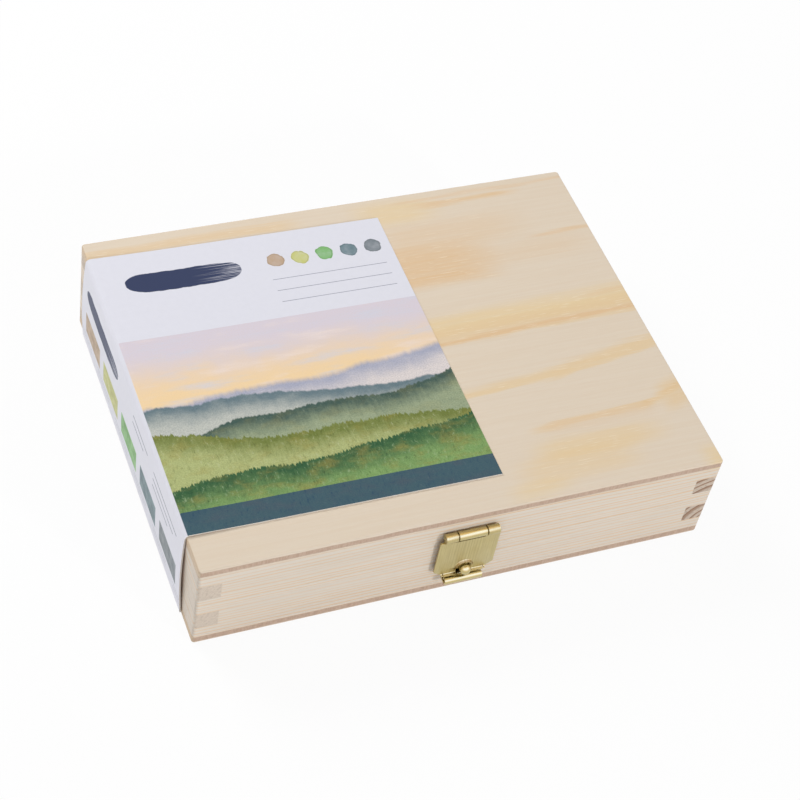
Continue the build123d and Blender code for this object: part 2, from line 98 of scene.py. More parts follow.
@dataclass
class Graph:
    """Adds nodes to a tree and joins them."""

    tree: bpy.types.NodeTree

    @classmethod
    def of(cls, owner: Union[bpy.types.Material, bpy.types.World]) -> "Graph":
        """Graph of a material's or a world's emptied node tree.

        Args:
            owner: The material or world.

        Returns:
            A graph on its tree.
        """
        owner.use_nodes = True
        owner.node_tree.nodes.clear()
        return cls(owner.node_tree)

    def plug(self, socket: Socket, value: Value) -> None:
        """Join a socket to another one, or give it a plain value.

        Args:
            socket: The input that receives the value.
            value: A socket to join to it, or a plain number, vector or colour.
        """
        if isinstance(value, bpy.types.NodeSocket):
            self.tree.links.new(value, socket)
        else:
            socket.default_value = value

    def add(self, kind: str, inputs: Optional[dict] = None, **settings: object) -> bpy.types.Node:
        """Add one node.

        Args:
            kind: The node's type name.
            inputs: Values of its inputs, by name or number.
            settings: Properties of the node, set before its inputs.

        Returns:
            The new node.
        """
        node = self.tree.nodes.new(kind)
        for name, value in settings.items():
            setattr(node, name, value)
        for name, value in (inputs or {}).items():
            self.plug(node.inputs[name], value)
        return node

    def math(self, operation: str, first: Value, second: Value = 0.0, third: Value = 0.0) -> Socket:
        """Result of a Math node of that operation on up to three values.

        Args:
            operation: The node's operation.
            first: First value.
            second: Second value.
            third: Third value.

        Returns:
            The result.
        """
        return self.add(
            "ShaderNodeMath", {0: first, 1: second, 2: third}, operation=operation
        ).outputs[0]

    def sum(self, *values: Value) -> Socket:
        """Sum of all the values.

        Args:
            values: Sockets or numbers.

        Returns:
            Their sum.
        """
        total = values[0]
        for value in values[1:]:
            total = self.math("ADD", total, value)
        return total

    def less(self, value: Value, taken: Value) -> Socket:
        """The value with another one taken away."""
        return self.math("SUBTRACT", value, taken)

    def product(self, *values: Value) -> Socket:
        """Product of all the values.

        Args:
            values: Sockets or numbers.

        Returns:
            Their product.
        """
        total = values[0]
        for value in values[1:]:
            total = self.math("MULTIPLY", total, value)
        return total

    def line(self, value: Value, factor: Value, shift: Value) -> Socket:
        """The value times a factor, plus a shift."""
        return self.math("MULTIPLY_ADD", value, factor, shift)

    def inside(self, value: Value, low: Value, high: Value, soft: float) -> Socket:
        """1 where the value lies between low and high, fading over a width at both ends.

        Args:
            value: The value.
            low: Lower end.
            high: Upper end.
            soft: Width over which each end fades.

        Returns:
            The share, from 0 to 1.
        """
        rise = self.smooth(self.math("SUBTRACT", value, low), 0.0, soft)
        fall = self.smooth(self.math("SUBTRACT", high, value), 0.0, soft)
        return self.math("MULTIPLY", rise, fall)

    def smooth(self, value: Value, low: float, high: float) -> Socket:
        """Smooth step of the value, from 0 at low to 1 at high.

        Args:
            value: The value.
            low: Where the step begins.
            high: Where it ends.

        Returns:
            The share, from 0 to 1.
        """
        settings = {"interpolation_type": "SMOOTHSTEP"}
        inputs = {"Value": value, "From Min": low, "From Max": high}
        return self.add("ShaderNodeMapRange", inputs, **settings).outputs[0]

    def mix(self, share: Value, first: Value, second: Value) -> Socket:
        """Colour mixed from the first to the second by a share.

        Args:
            share: Share of the second colour, from 0 to 1.
            first: A socket, a display colour of three parts or a linear one of four.
            second: The same for the other colour.

        Returns:
            The mixed colour.
        """
        node = self.add("ShaderNodeMix", {0: share}, data_type="RGBA")
        for number, colour in ((6, first), (7, second)):
            shown = isinstance(colour, tuple) and len(colour) == 3
            self.plug(node.inputs[number], srgb(colour) if shown else colour)
        return node.outputs[2]

    def wash(
        self, colour: Value, tint: Value, value: Value, low: float, high: float, share: float = 1.0
    ) -> Socket:
        """Lay a tint on a colour where a value is high.

        Args:
            colour: The colour below.
            tint: The tint laid on it.
            value: The value that steers it.
            low: Value at which the tint begins.
            high: Value at which it is full.
            share: Share of the tint where it is full.

        Returns:
            The tinted colour.
        """
        return self.mix(self.product(self.smooth(value, low, high), share), colour, tint)

    def vector(self, x: Value, y: Value, z: Value = 0.0) -> Socket:
        """Vector of three values."""
        return self.add("ShaderNodeCombineXYZ", {0: x, 1: y, 2: z}).outputs[0]

    def split(self, vector: Socket) -> tuple[Socket, Socket, Socket]:
        """The three parts of a vector."""
        node = self.add("ShaderNodeSeparateXYZ", {0: vector})
        return node.outputs[0], node.outputs[1], node.outputs[2]

    def noise(
        self, where: Socket, scale: float = 1.0, detail: float = 2.0, rough: float = 0.5
    ) -> Socket:
        """Noise from 0 to 1 at a place, with its grain size as a scale."""
        inputs = {"Vector": where, "Scale": scale, "Detail": detail, "Roughness": rough}
        return self.add("ShaderNodeTexNoise", inputs).outputs[0]

    def field(
        self, *axes: object, scale: float = 1.0, detail: float = 2.0, rough: float = 0.5
    ) -> Socket:
        """Noise from 0 to 1 that is stretched along its axes.

        Args:
            axes: Each axis as a value, or as a value with its factor and perhaps a shift.
            scale: Scale of the whole noise.
            detail: Number of finer layers.
            rough: Strength of the finer layers.

        Returns:
            The noise.
        """
        parts = []
        for axis in axes:
            stretched = isinstance(axis, tuple)
            shift = axis[2] if stretched and len(axis) == 3 else 0.0
            parts.append(self.line(axis[0], axis[1], shift) if stretched else axis)
        return self.noise(self.vector(*parts), scale, detail, rough)

    def surface(
        self, shader: bpy.types.Node, colour: Value, roughness: Value, height: Socket, depth: float,
        strength: float, **others: Value,
    ) -> None:
        """Fill a shader's colour, roughness, relief and other inputs.

        Args:
            shader: The shader.
            colour: Its base colour.
            roughness: Its roughness.
            height: Its relief, from 0 to 1.
            depth: Height of the relief in millimetres.
            strength: Strength of the relief.
            others: Other inputs by name, with _ for a space.
        """
        relief = {"Height": height, "Distance": depth * MM, "Strength": strength}
        normal = self.add("ShaderNodeBump", relief).outputs[0]
        inputs = {"Base Color": colour, "Roughness": roughness, "Normal": normal}
        inputs.update({name.replace("_", " "): value for name, value in others.items()})
        for name, value in inputs.items():
            self.plug(shader.inputs[name], value)

    def place_mm(self) -> tuple[Socket, Socket, Socket]:
        """Place on the object in millimetres, as x, y and z.

        Returns:
            The three parts.
        """
        coordinates = self.add("ShaderNodeTexCoord")
        inputs = {0: coordinates.outputs["Object"], "Scale": 1 / MM}
        return self.split(self.add("ShaderNodeVectorMath", inputs, operation="SCALE").outputs[0])

    def facing(self) -> tuple[Socket, Socket, Socket]:
        """Size of the surface normal's part along each of the object's axes."""
        coordinates = self.add("ShaderNodeTexCoord")
        return tuple(self.math("ABSOLUTE", part) for part in self.split(coordinates.outputs["Normal"]))


@dataclass(frozen=True)
class Finish:
    """A surface finish: a name, and a material that is made once."""

    name: str

    def material(self) -> bpy.types.Material:
        """The finish's material, made at its first use.

        Returns:
            The material.
        """
        known = bpy.data.materials.get(self.name)
        if known:
            return known
        made = bpy.data.materials.new(self.name)
        graph = Graph.of(made)
        shader = graph.add("ShaderNodeBsdfPrincipled")
        graph.add("ShaderNodeOutputMaterial", {"Surface": shader.outputs[0]})
        self.paint(graph, shader)
        return made

    def paint(self, graph: Graph, shader: bpy.types.Node) -> None:
        """Set the shader's inputs; each finish has its own way."""
        raise NotImplementedError


@dataclass(frozen=True)
class FigureBand:
    """A streak of darker figure in a veneer, in millimetres from the panel's left and back edges."""

    start: float
    end: float
    centre: float
    half: float
    slope: float = 0.0
    rise: float = 3.0
    fall: float = 3.0
    fade_in: float = 14.0
    fade_out: float = 14.0
    yellow: float = 0.0
    peach: float = 0.0


LID_FIGURE = (
    FigureBand(-20, 74, 5.6, 1.7, slope=-0.006, rise=2.4, fall=2, yellow=0.45, peach=0.4, fade_in=8),
    FigureBand(84, 122, 7.2, 4.8, rise=5, fall=5, yellow=0.8, fade_out=16),
    FigureBand(98, 182, 3.6, 0.6, slope=-0.008, rise=1.4, fall=1.2, peach=0.5, fade_in=12),
    FigureBand(106, 150, 6.2, 1.1, rise=1.6, fall=1.4, yellow=0.3, peach=0.75, fade_in=12, fade_out=12),
    FigureBand(88, 152, 19.5, 5.5, slope=0.01, rise=7, fall=6, peach=0.36, fade_out=24),
    FigureBand(60, 134, 33.0, 8.2, slope=0.01, rise=8, fall=5, peach=0.85, fade_out=20),
    FigureBand(116, 170, 32.5, 4.0, slope=0.01, rise=5, fall=5, peach=0.24, fade_in=12, fade_out=20),
    FigureBand(140, 182, 28.6, 0.8, slope=-0.02, rise=1.6, fall=1.4, peach=0.62, fade_in=9, fade_out=9),
    FigureBand(40, 182, 58.6, 3.6, slope=-0.012, rise=6, fall=3, yellow=0.95, fade_in=24),
    FigureBand(30, 182, 63.0, 3.4, slope=-0.008, rise=3, fall=1.8, yellow=0.7, peach=0.34, fade_in=24),
    FigureBand(146, 184, 57.4, 0.8, slope=-0.02, rise=1.4, fall=1.6, peach=0.5, fade_in=10),
    FigureBand(60, 184, 66.2, 0.9, slope=-0.035, rise=1.4, fall=0.9, peach=0.62, fade_in=24),
    FigureBand(
        56, 136, 88.4, 1.5, slope=-0.075, rise=3.0, fall=1.1, yellow=0.8, peach=0.25, fade_in=26,
        fade_out=16,
    ),
    FigureBand(120, 184, 92.6, 2.2, slope=-0.16, rise=3.6, fall=1.3, yellow=0.8, peach=0.3, fade_in=14),
    FigureBand(
        146, 184, 129.7, 1.0, slope=-0.385, rise=1.6, fall=2.0, yellow=0.6, peach=0.3, fade_in=7,
        fade_out=7,
    ),
    FigureBand(
        108, 160, 106.9, 1.0, slope=-0.056, rise=1.4, fall=2.8, yellow=0.6, peach=0.35, fade_in=10,
        fade_out=9,
    ),
    FigureBand(
        110, 158, 106.5, 2.2, slope=-0.02, rise=2.5, fall=3, peach=0.28, fade_in=10, fade_out=10
    ),
    FigureBand(104, 158, 114.5, 3.6, slope=-0.02, rise=5, fall=5, yellow=0.75, peach=0.14, fade_out=18),
    FigureBand(96, 146, 121.5, 4.4, slope=-0.03, rise=5, fall=5, yellow=0.55, peach=0.16, fade_out=16),
    FigureBand(92, 120, 127.5, 2.6, slope=-0.05, rise=3, fall=3, yellow=0.55, fade_in=10, fade_out=12),
    FigureBand(157, 184, 121.0, 5.5, slope=0.1, rise=6, fall=5, yellow=0.85, fade_in=7),
    FigureBand(154, 184, 124.5, 5.5, slope=-0.3, rise=5, fall=5, yellow=0.6, peach=0.35, fade_in=7),
)
BASE_FIGURE = (
    FigureBand(-10, 120, 24.0, 3.6, slope=0.03, rise=5, fall=1.6, peach=0.75, fade_out=40),
    FigureBand(30, 180, 52.0, 5.2, slope=-0.04, rise=6, fall=2.4, yellow=0.7, peach=0.25, fade_in=40),
    FigureBand(-10, 180, 79.0, 2.4, slope=0.05, rise=2.6, fall=1.2, peach=0.8),
    FigureBand(60, 180, 104.0, 4.4, slope=-0.06, rise=5, fall=2, peach=0.6, fade_in=30),
)


@dataclass(frozen=True)
class Plywood(Finish):
    """Three-ply with a flame-figured face veneer whose grain runs along X."""

    BAND_INPUTS: ClassVar[tuple[str, ...]] = (
        "Start", "End", "Fade In", "Fade Out", "Centre", "Slope", "Half", "Rise", "Fall",
    )
    bands: tuple[FigureBand, ...]
    low: float
    core_low: float
    core_high: float
    seed: float

    def band_group(self) -> bpy.types.NodeTree:
        """Shared node group that gives the strength of one figure band at a place.

        Returns:
            The group.
        """
        known = bpy.data.node_groups.get("figure_band")
        if known:
            return known
        tree = bpy.data.node_groups.new("figure_band", "ShaderNodeTree")
        for name in ("Across", "Along", *self.BAND_INPUTS):
            tree.interface.new_socket(name=name, in_out="INPUT", socket_type="NodeSocketFloat")
        tree.interface.new_socket(name="Strength", in_out="OUTPUT", socket_type="NodeSocketFloat")
        graph = Graph(tree)
        given = graph.add("NodeGroupInput").outputs
        into = graph.less(given["Along"], given["Start"])
        left = graph.less(given["End"], given["Along"])
        fade_in = graph.smooth(graph.math("DIVIDE", into, given["Fade In"]), 0.0, 1.0)
        fade_out = graph.smooth(graph.math("DIVIDE", left, given["Fade Out"]), 0.0, 1.0)
        middle = graph.line(graph.less(given["Along"], BOX_WIDTH / 2), given["Slope"], given["Centre"])
        off = graph.less(given["Across"], middle)
        above = graph.sum(off, given["Half"])
        below = graph.less(given["Half"], off)
        rise = graph.smooth(graph.math("DIVIDE", above, given["Rise"]), -0.5, 0.5)
        fall = graph.smooth(graph.math("DIVIDE", below, given["Fall"]), -0.5, 0.5)
        strength = graph.product(fade_in, fade_out, rise, fall)
        graph.add("NodeGroupOutput", {"Strength": strength})
        return tree

    def veneer(self, graph: Graph, x: Socket, y: Socket) -> tuple[Socket, Socket]:
        """Colour and fine relief of the face veneer.

        Args:
            graph: The material's graph.
            x: Place along the panel in millimetres.
            y: Place across the panel in millimetres.

        Returns:
            The veneer's colour, and its fibres as a value about one half.
        """
        along = graph.sum(x, BOX_WIDTH / 2)
        across = graph.less(BOX_DEPTH / 2, y)
        slow = graph.field((x, 0.016, self.seed), (y, 0.045))
        quick = graph.field((x, 0.05, self.seed), (y, 0.35), detail=3.0, rough=0.55)
        ragged = graph.field((x, 0.035, self.seed), (y, 1.7, 3.0))
        warp = graph.sum(
            graph.line(slow, 4.0, -2.0), graph.line(quick, 2.4, -1.2), graph.line(ragged, 2.6, -1.3)
        )
        bent = graph.sum(across, warp)
        yellow, peach = 0.0, 0.0
        for band in self.bands:
            values = {name: getattr(band, name.lower().replace(" ", "_")) for name in self.BAND_INPUTS}
            values.update({"Across": bent, "Along": along})
            node = graph.add("ShaderNodeGroup", values, node_tree=self.band_group())
            yellow = graph.line(node.outputs[0], band.yellow, yellow)
            peach = graph.line(node.outputs[0], band.peach, peach)
        streak = graph.field((x, 0.022, self.seed), (y, 0.9, 7.0), detail=3.0, rough=0.6)
        fibre = graph.field((x, 0.12, self.seed), (y, 4.5, 1.0), detail=3.0, rough=0.6)
        hair = graph.field((x, 0.045, self.seed), (y, 2.4, 9.0), detail=3.0, rough=0.65)
        broken = graph.sum(
            graph.line(graph.smooth(streak, 0.28, 0.72), 0.34, 0.60), graph.line(hair, 0.40, -0.04)
        )
        plain = graph.wash((223, 209, 190), (221, 205, 184), streak, 0.3, 0.75)
        tinted = graph.mix(graph.product(yellow, broken), plain, (227, 204, 163))
        warm = graph.mix(
            graph.math("MINIMUM", graph.product(peach, broken), 1.0), tinted, (222, 190, 150)
        )
        fleck_at = graph.field((x, 0.16, self.seed), (y, 3.4, 5.0), detail=1.0)
        figured = graph.math("MINIMUM", graph.sum(peach, graph.line(yellow, 0.8, 0.22)), 1.0)
        fleck = graph.product(graph.smooth(fleck_at, 0.63, 0.73), figured, 0.75)
        lit = graph.mix(fleck, warm, (238, 224, 203))
        return graph.mix(graph.line(fibre, 0.22, -0.08), lit, (190, 164, 134)), fibre

    def paint(self, graph: Graph, shader: bpy.types.Node) -> None:
        """Face veneer on top and below, and the plies' stripes round the edge.

        Args:
            graph: The material's graph.
            shader: Its shader, whose inputs are filled.
        """
        x, y, z = graph.place_mm()
        side_x, side_y, _ = graph.facing()
        face, fibre = self.veneer(graph, x, y)
        wobble = graph.field((x, 0.06, self.seed), (y, 0.06, 2.0))
        level = graph.sum(graph.less(z, self.low), graph.line(wobble, 0.5, -0.25))
        core = graph.inside(level, self.core_low, self.core_high, 0.16)
        pores = graph.field((x, 1.9), (y, 1.9), (z, 0.5), detail=3.0, rough=0.7)
        streaks = graph.field((x, 0.05, 4.0), (y, 0.05), (z, 2.4))
        end_brown = graph.wash((194, 169, 150), (178, 151, 131), pores, 0.3, 0.7)
        long_brown = graph.wash((214, 196, 172), (197, 172, 142), streaks, 0.3, 0.7)
        brown = graph.wash(end_brown, long_brown, side_x, 0.4, 0.8)
        glue = graph.inside(level, self.core_low - 0.09, self.core_low + 0.12, 0.08)
        glue_top = graph.inside(level, self.core_high - 0.12, self.core_high + 0.09, 0.08)
        pale = graph.wash(face, (205, 184, 158), side_x, 0.4, 0.8)
        stripe = graph.mix(core, pale, brown)
        lined = graph.mix(
            graph.product(graph.math("MAXIMUM", glue, glue_top), 0.35), stripe, (140, 108, 88)
        )
        edge = graph.smooth(graph.math("MAXIMUM", side_x, side_y), 0.35, 0.7)
        colour = graph.mix(edge, face, lined)
        graph.surface(
            shader, colour, graph.line(fibre, 0.16, 0.46), fibre, 0.05, 0.6, Specular_IOR_Level=0.32
        )


class Grain(Enum):
    """Axis that a board's fibres follow, as the number of that axis."""

    X = 0
    Y = 1


@dataclass(frozen=True)
class Pine(Finish):
    """Solid pine with growth rings round a pith line, cut through in every direction."""

    grain: Grain
    pith: tuple[float, float]
    pitch: float
    line_share: float
    end_share: float
    end_shade: float
    seed: float

    def paint(self, graph: Graph, shader: bpy.types.Node) -> None:
        """Fine lines on the long faces and darker rings on the end grain.

        Args:
            graph: The material's graph.
            shader: Its shader, whose inputs are filled.
        """
        place = graph.place_mm()
        facing = graph.facing()
        along = place[self.grain.value]
        side = place[1 - self.grain.value]
        up = place[2]
        sway = graph.field((along, 0.011, self.seed), (side, 0.02), (up, 0.05))
        ripple = graph.field((along, 0.06, self.seed), (side, 0.2, 5.0), (up, 0.35))
        bent_up = graph.sum(up, graph.line(sway, 2.6, -1.3), graph.line(ripple, 0.5, -0.25))
        from_side = graph.math("POWER", graph.less(side, self.pith[0]), 2.0)
        from_up = graph.math("POWER", graph.less(bent_up, self.pith[1]), 2.0)
        reach = graph.math("SQRT", graph.sum(from_side, from_up))
        uneven = graph.field(reach, self.seed, 0.0, detail=1.0, scale=0.23)
        rings = graph.sum(graph.math("DIVIDE", reach, self.pitch), graph.product(uneven, 1.7))
        turn = graph.math("FRACT", rings)
        late = graph.product(
            graph.smooth(turn, 0.50, 0.90), graph.less(1.0, graph.smooth(turn, 0.90, 1.0))
        )
        strength_at = graph.field((rings, 0.9, self.seed), (along, 0.012), detail=1.0)
        strength = graph.line(graph.smooth(strength_at, 0.3, 0.7), 0.6, 0.4)
        fibre = graph.field((along, 0.09, self.seed), (side, 3.2), (up, 3.2), detail=3.0, rough=0.6)
        cloud = graph.field((along, 0.03, self.seed), (side, 0.12), (up, 0.12))
        plain = graph.mix(cloud, (220, 211, 199), (214, 204, 190))
        lined = graph.mix(graph.product(late, strength, self.line_share), plain, (219, 178, 130))
        long_face = graph.mix(graph.line(fibre, 0.13, -0.03), lined, (176, 156, 138))
        pores = graph.field((side, 2.6, self.seed), (up, 2.6), (along, 0.3), detail=3.0, rough=0.7)
        specks = graph.field((side, 0.9, self.seed), (up, 1.3), 4.0)
        mottle = graph.wash((206, 191, 175), (188, 171, 154), pores, 0.3, 0.7)
        speckled = graph.wash(mottle, (160, 142, 126), specks, 0.52, 0.70, 0.6)
        end_plain = graph.mix(self.end_shade, plain, speckled)
        end_face = graph.mix(graph.product(late, self.end_share), end_plain, (138, 102, 76))
        end_on = graph.smooth(facing[self.grain.value], 0.55, 0.85)
        colour = graph.mix(end_on, long_face, end_face)
        relief = graph.line(late, 0.35, fibre)
        graph.surface(
            shader, colour, graph.line(fibre, 0.18, 0.48), relief, 0.06, 0.6, Specular_IOR_Level=0.3
        )


class Brush(Enum):
    """Direction of the brush marks in sheet brass."""

    UP = (2.2, 2.2, 0.05)
    ALONG = (0.04, 2.0, 2.0)


@dataclass(frozen=True)
class Brass(Finish):
    """Lacquered brass with fine brush marks."""

    brush: Brush
    mark: float
    ridges_and_notch_reflection: float
    roughness: float
    ridge_pitch: float = 0.95
    ridge_span: tuple[float, float] = (-7.5, 6.5)
    notch_height: float = 12.2
    notch_reach: float = 3.15
    notch_rim: float = 0.9

    def paint(self, graph: Graph, shader: bpy.types.Node) -> None:
        """Brush marks in colour, gloss and relief over a soft cloudiness, and painted notch reflection.

        Args:
            graph: The material's graph.
            shader: Its shader, whose inputs are filled.
        """
        x, y, z = graph.place_mm()
        step_x, step_y, step_z = self.brush.value
        stretched = graph.vector(
            graph.product(x, step_x), graph.product(y, step_y), graph.product(z, step_z)
        )
        marks = graph.noise(stretched, 1.6, 3.0, 0.6)
        fine = graph.noise(stretched, 5.5, 2.0, 0.5)
        cloud = graph.field(x, y, z, scale=0.22)
        body = graph.mix(cloud, (204, 191, 141), (191, 176, 124))
        shade = graph.wash(body, (152, 134, 86), marks, 0.35, 0.7, self.mark)
        drift = graph.field((x, 0.6, 2.0), (z, 0.03), detail=1.0)
        ridge = graph.math(
            "SINE", graph.sum(graph.product(x, math.tau / self.ridge_pitch), graph.product(drift, 7.0))
        )
        where = graph.inside(x, *self.ridge_span, 4.0)
        cut = graph.product(graph.smooth(ridge, 0.1, 1.0), where, self.ridges_and_notch_reflection)
        shade = graph.mix(graph.product(cut, 0.22), shade, (128, 110, 66))
        # Painted reflection and shade: a patchy dark orange ring round the catch notch stands in for
        # wood mirrored in the notch's rim and for shade inside it.
        above = graph.less(z, self.notch_height)
        reach = graph.math("SQRT", graph.sum(graph.product(x, x), graph.product(above, above)))
        notch_reflection = graph.product(
            graph.inside(reach, self.notch_reach - self.notch_rim, self.notch_reach, 0.4), self.ridges_and_notch_reflection
        )
        shade = graph.mix(graph.product(notch_reflection, graph.smooth(fine, 0.37, 0.55)), shade, (120, 82, 22))
        relief = graph.line(marks, 0.6, graph.product(fine, 0.4))
        graph.surface(
            shader, shade, graph.line(fine, 0.16, self.roughness), relief, 0.03, 0.5, Metallic=1.0
        )


@dataclass(frozen=True)
class PlainWood(Finish):
    """Thin limewood slat with a faint grain along Y."""

    seed: float

    def paint(self, graph: Graph, shader: bpy.types.Node) -> None:
        """Pale wood with thin streaks.

        Args:
            graph: The material's graph.
            shader: Its shader, whose inputs are filled.
        """
        x, y, z = graph.place_mm()
        streak = graph.field((x, 1.1, self.seed), (y, 0.03), (z, 0.9), detail=3.0)
        fibre = graph.field((x, 4.0), (y, 0.12), (z, 4.0), detail=3.0)
        plain = graph.wash((223, 208, 184), (208, 188, 158), streak, 0.3, 0.7)
        colour = graph.mix(graph.line(fibre, 0.2, -0.05), plain, (170, 146, 114))
        graph.surface(shader, colour, graph.line(fibre, 0.2, 0.52), fibre, 0.05, 0.6)


@dataclass(frozen=True)
class Ridge:
    """A painted hill: its crest line in millimetres down the picture, and its colours."""

    level: float
    swing: float
    slope: float
    seed: float
    crest: Colour
    foot: Colour
    fade: float
    soft: float
    blades: float


PICTURE_RIDGES = (
    Ridge(24.0, 6.0, -0.05, 1.3, (172, 175, 194), (226, 217, 214), 9.0, 1.4, 0.0),
    Ridge(30.0, 7.0, 0.06, 2.1, (108, 128, 136), (198, 200, 192), 9.0, 0.45, 0.0),
    Ridge(36.5, 8.0, -0.08, 3.4, (70, 94, 88), (160, 172, 140), 9.0, 0.35, 0.35),
    Ridge(44.0, 9.0, 0.10, 5.2, (116, 128, 66), (182, 190, 130), 10.0, 0.3, 0.8),
    Ridge(54.0, 8.0, -0.09, 7.7, (58, 98, 66), (134, 168, 104), 13.0, 0.3, 1.0),
)


@dataclass(frozen=True)
class PrintedCard(Finish):
    """Coated card printed with plain hills and washes; its map counts 100 mm as one unit."""

    length: float = 109.8
    header: float = 35.8
    band: float = 8.0
    dab_start: float = 57.5
    dab_pitch: float = 8.2
    dab_row: float = 11.8
    dab_stagger: float = 0.25
    swatch_start: float = 5.3
    swatch_pitch: float = 20.9
    swatch_length: float = 16.8
    caption_length: float = 7.0
    top_lines: tuple[float, ...] = (19.8, 24.6, 29.4)
    caption_lines: tuple[float, ...] = (28.3, 30.1)
    spine_lines: tuple[Point, ...] = (
        (6.6, 58.0, 74.0), (9.2, 58.0, 70.0), (6.6, 80.0, 104.0), (9.2, 80.0, 101.0),
        (11.8, 80.0, 96.0),
    )

    def hairline(
        self, graph: Graph, colour: Socket, over: Socket, at: float, width: float, soft: float,
        reach: Socket, ink: float,
    ) -> Socket:
        """Print one thin dark line over a colour.

        Args:
            graph: The material's graph.
            colour: The colour below it.
            over: Place across the line in millimetres.
            at: Where the line starts.
            width: Its width.
            soft: Width over which its sides fade.
            reach: 1 along the line and 0 beyond its ends.
            ink: Share of ink in it.

        Returns:
            The printed colour.
        """
        line = graph.inside(over, at, at + width, soft)
        return graph.mix(graph.product(line, reach, ink), colour, NAVY)

    def hills(self, graph: Graph, across: Socket, along: Socket) -> Socket:
        """Colour of the picture panel: a warm sky over overlapping hills and a meadow.

        Args:
            graph: The material's graph.
            across: Place from the crease in millimetres.
            along: Place from the card's back edge in millimetres.

        Returns:
            The picture's colour.
        """
        down = graph.less(along, self.header)
        paper = graph.vector(across, down, 0.0)
        grains = graph.noise(paper, 2.3, 4.0, 0.72)
        bloom = graph.noise(paper, 0.05, 4.0, 0.6)
        lean = graph.line(bloom, 16.0, -8.0)
        warmth = graph.smooth(graph.sum(down, lean), 4.0, 25.0)
        sky = graph.mix(warmth, (215, 206, 216), (240, 210, 164))
        clouds = graph.field((across, 0.028, 3.0), (down, 0.15), detail=5.0, rough=0.6)
        sky = graph.wash(sky, (206, 210, 224), clouds, 0.50, 0.72, 0.7)
        sky = graph.wash(sky, (238, 222, 214), clouds, 0.48, 0.30, 0.6)
        colour = graph.wash(sky, (214, 196, 176), grains, 0.45, 0.65, 0.20)
        for ridge in PICTURE_RIDGES:
            wave = graph.field((across, 0.024, 7.0 * ridge.seed), ridge.seed)
            rough = graph.field(
                (across, 0.55 + 0.8 * ridge.blades, ridge.seed), 3.0 * ridge.seed, detail=3.0,
                rough=0.6,
            )
            crest = graph.sum(
                graph.line(across, ridge.slope, ridge.level - 48 * ridge.slope),
                graph.line(wave, 2 * ridge.swing, -ridge.swing),
                graph.line(rough, 2.0 + 2.6 * ridge.blades, -1.0 - 1.3 * ridge.blades),
            )
            depth = graph.less(down, crest)
            patch = graph.field((across, 0.16, ridge.seed), (down, 0.24), detail=5.0, rough=0.65)
            faded = graph.sum(graph.smooth(depth, 0.0, ridge.fade), graph.line(patch, 0.9, -0.45))
            tone = graph.mix(
                graph.math("MINIMUM", graph.math("MAXIMUM", faded, 0.0), 1.0), ridge.crest, ridge.foot
            )
            if ridge.blades:
                sway = graph.product(graph.field((across, 0.2), (down, 0.3)), 3.0)
                leaning = graph.sum(graph.line(across, 1.1, ridge.seed), sway)
                blade = graph.field(leaning, (down, 0.38), detail=5.0, rough=0.75)
                ochre = graph.field((across, 0.11, 5.0), (down, 0.2, ridge.seed), detail=4.0, rough=0.6)
                dark = toward(ridge.crest, 0.42)
                light = toward(ridge.foot, 0.35, 240)
                tone = graph.wash(tone, (164, 150, 78), ochre, 0.44, 0.72, 0.5 * ridge.blades)
                tone = graph.wash(tone, dark, blade, 0.52, 0.76, 0.8 * ridge.blades)
                tone = graph.wash(tone, light, blade, 0.46, 0.26, 0.8 * ridge.blades)
            settled = graph.product(graph.smooth(grains, 0.40, 0.62), 0.26)
            tone = graph.mix(settled, tone, toward(ridge.crest, 0.34))
            colour = graph.wash(colour, tone, depth, -ridge.soft, ridge.soft)
        return colour

    def swash(
        self, graph: Graph, along: Socket, over: Socket, start: float, end: float, middle: float,
        half: float,
    ) -> Socket:
        """Cover of one brush stroke with blunt ends and dry streaks at its tail.

        Args:
            graph: The material's graph.
            along: Place along the stroke in millimetres.
            over: Place across the stroke in millimetres.
            start: Where it starts.
            end: Where it ends.
            middle: Its middle line.
            half: Half its width.

        Returns:
            Share of ink, from 0 to 1.
        """
        reach = (end - start) / 2
        part = graph.math("DIVIDE", graph.less(along, start + reach), reach)
        blunt = graph.less(1.0, graph.math("POWER", graph.math("ABSOLUTE", part), 6.0))
        width = graph.product(graph.math("SQRT", graph.math("MAXIMUM", blunt, 0.0)), half)
        bow = graph.product(part, part, 0.5)
        off = graph.math("ABSOLUTE", graph.sum(over, -middle, bow))
        edge = graph.field((along, 0.22, start), (over, 0.4), detail=3.0)
        cover = graph.smooth(graph.sum(graph.less(width, off), graph.line(edge, 0.9, -0.5)), -0.1, 0.14)
        cover = graph.product(cover, graph.smooth(blunt, 0.0, 0.1))
        bristle = graph.field((along, 0.05), (over, 2.4, start))
        dry = graph.product(graph.smooth(bristle, 0.50, 0.62), graph.smooth(part, 0.1, 0.95), 0.8)
        return graph.product(cover, graph.less(1.0, dry))

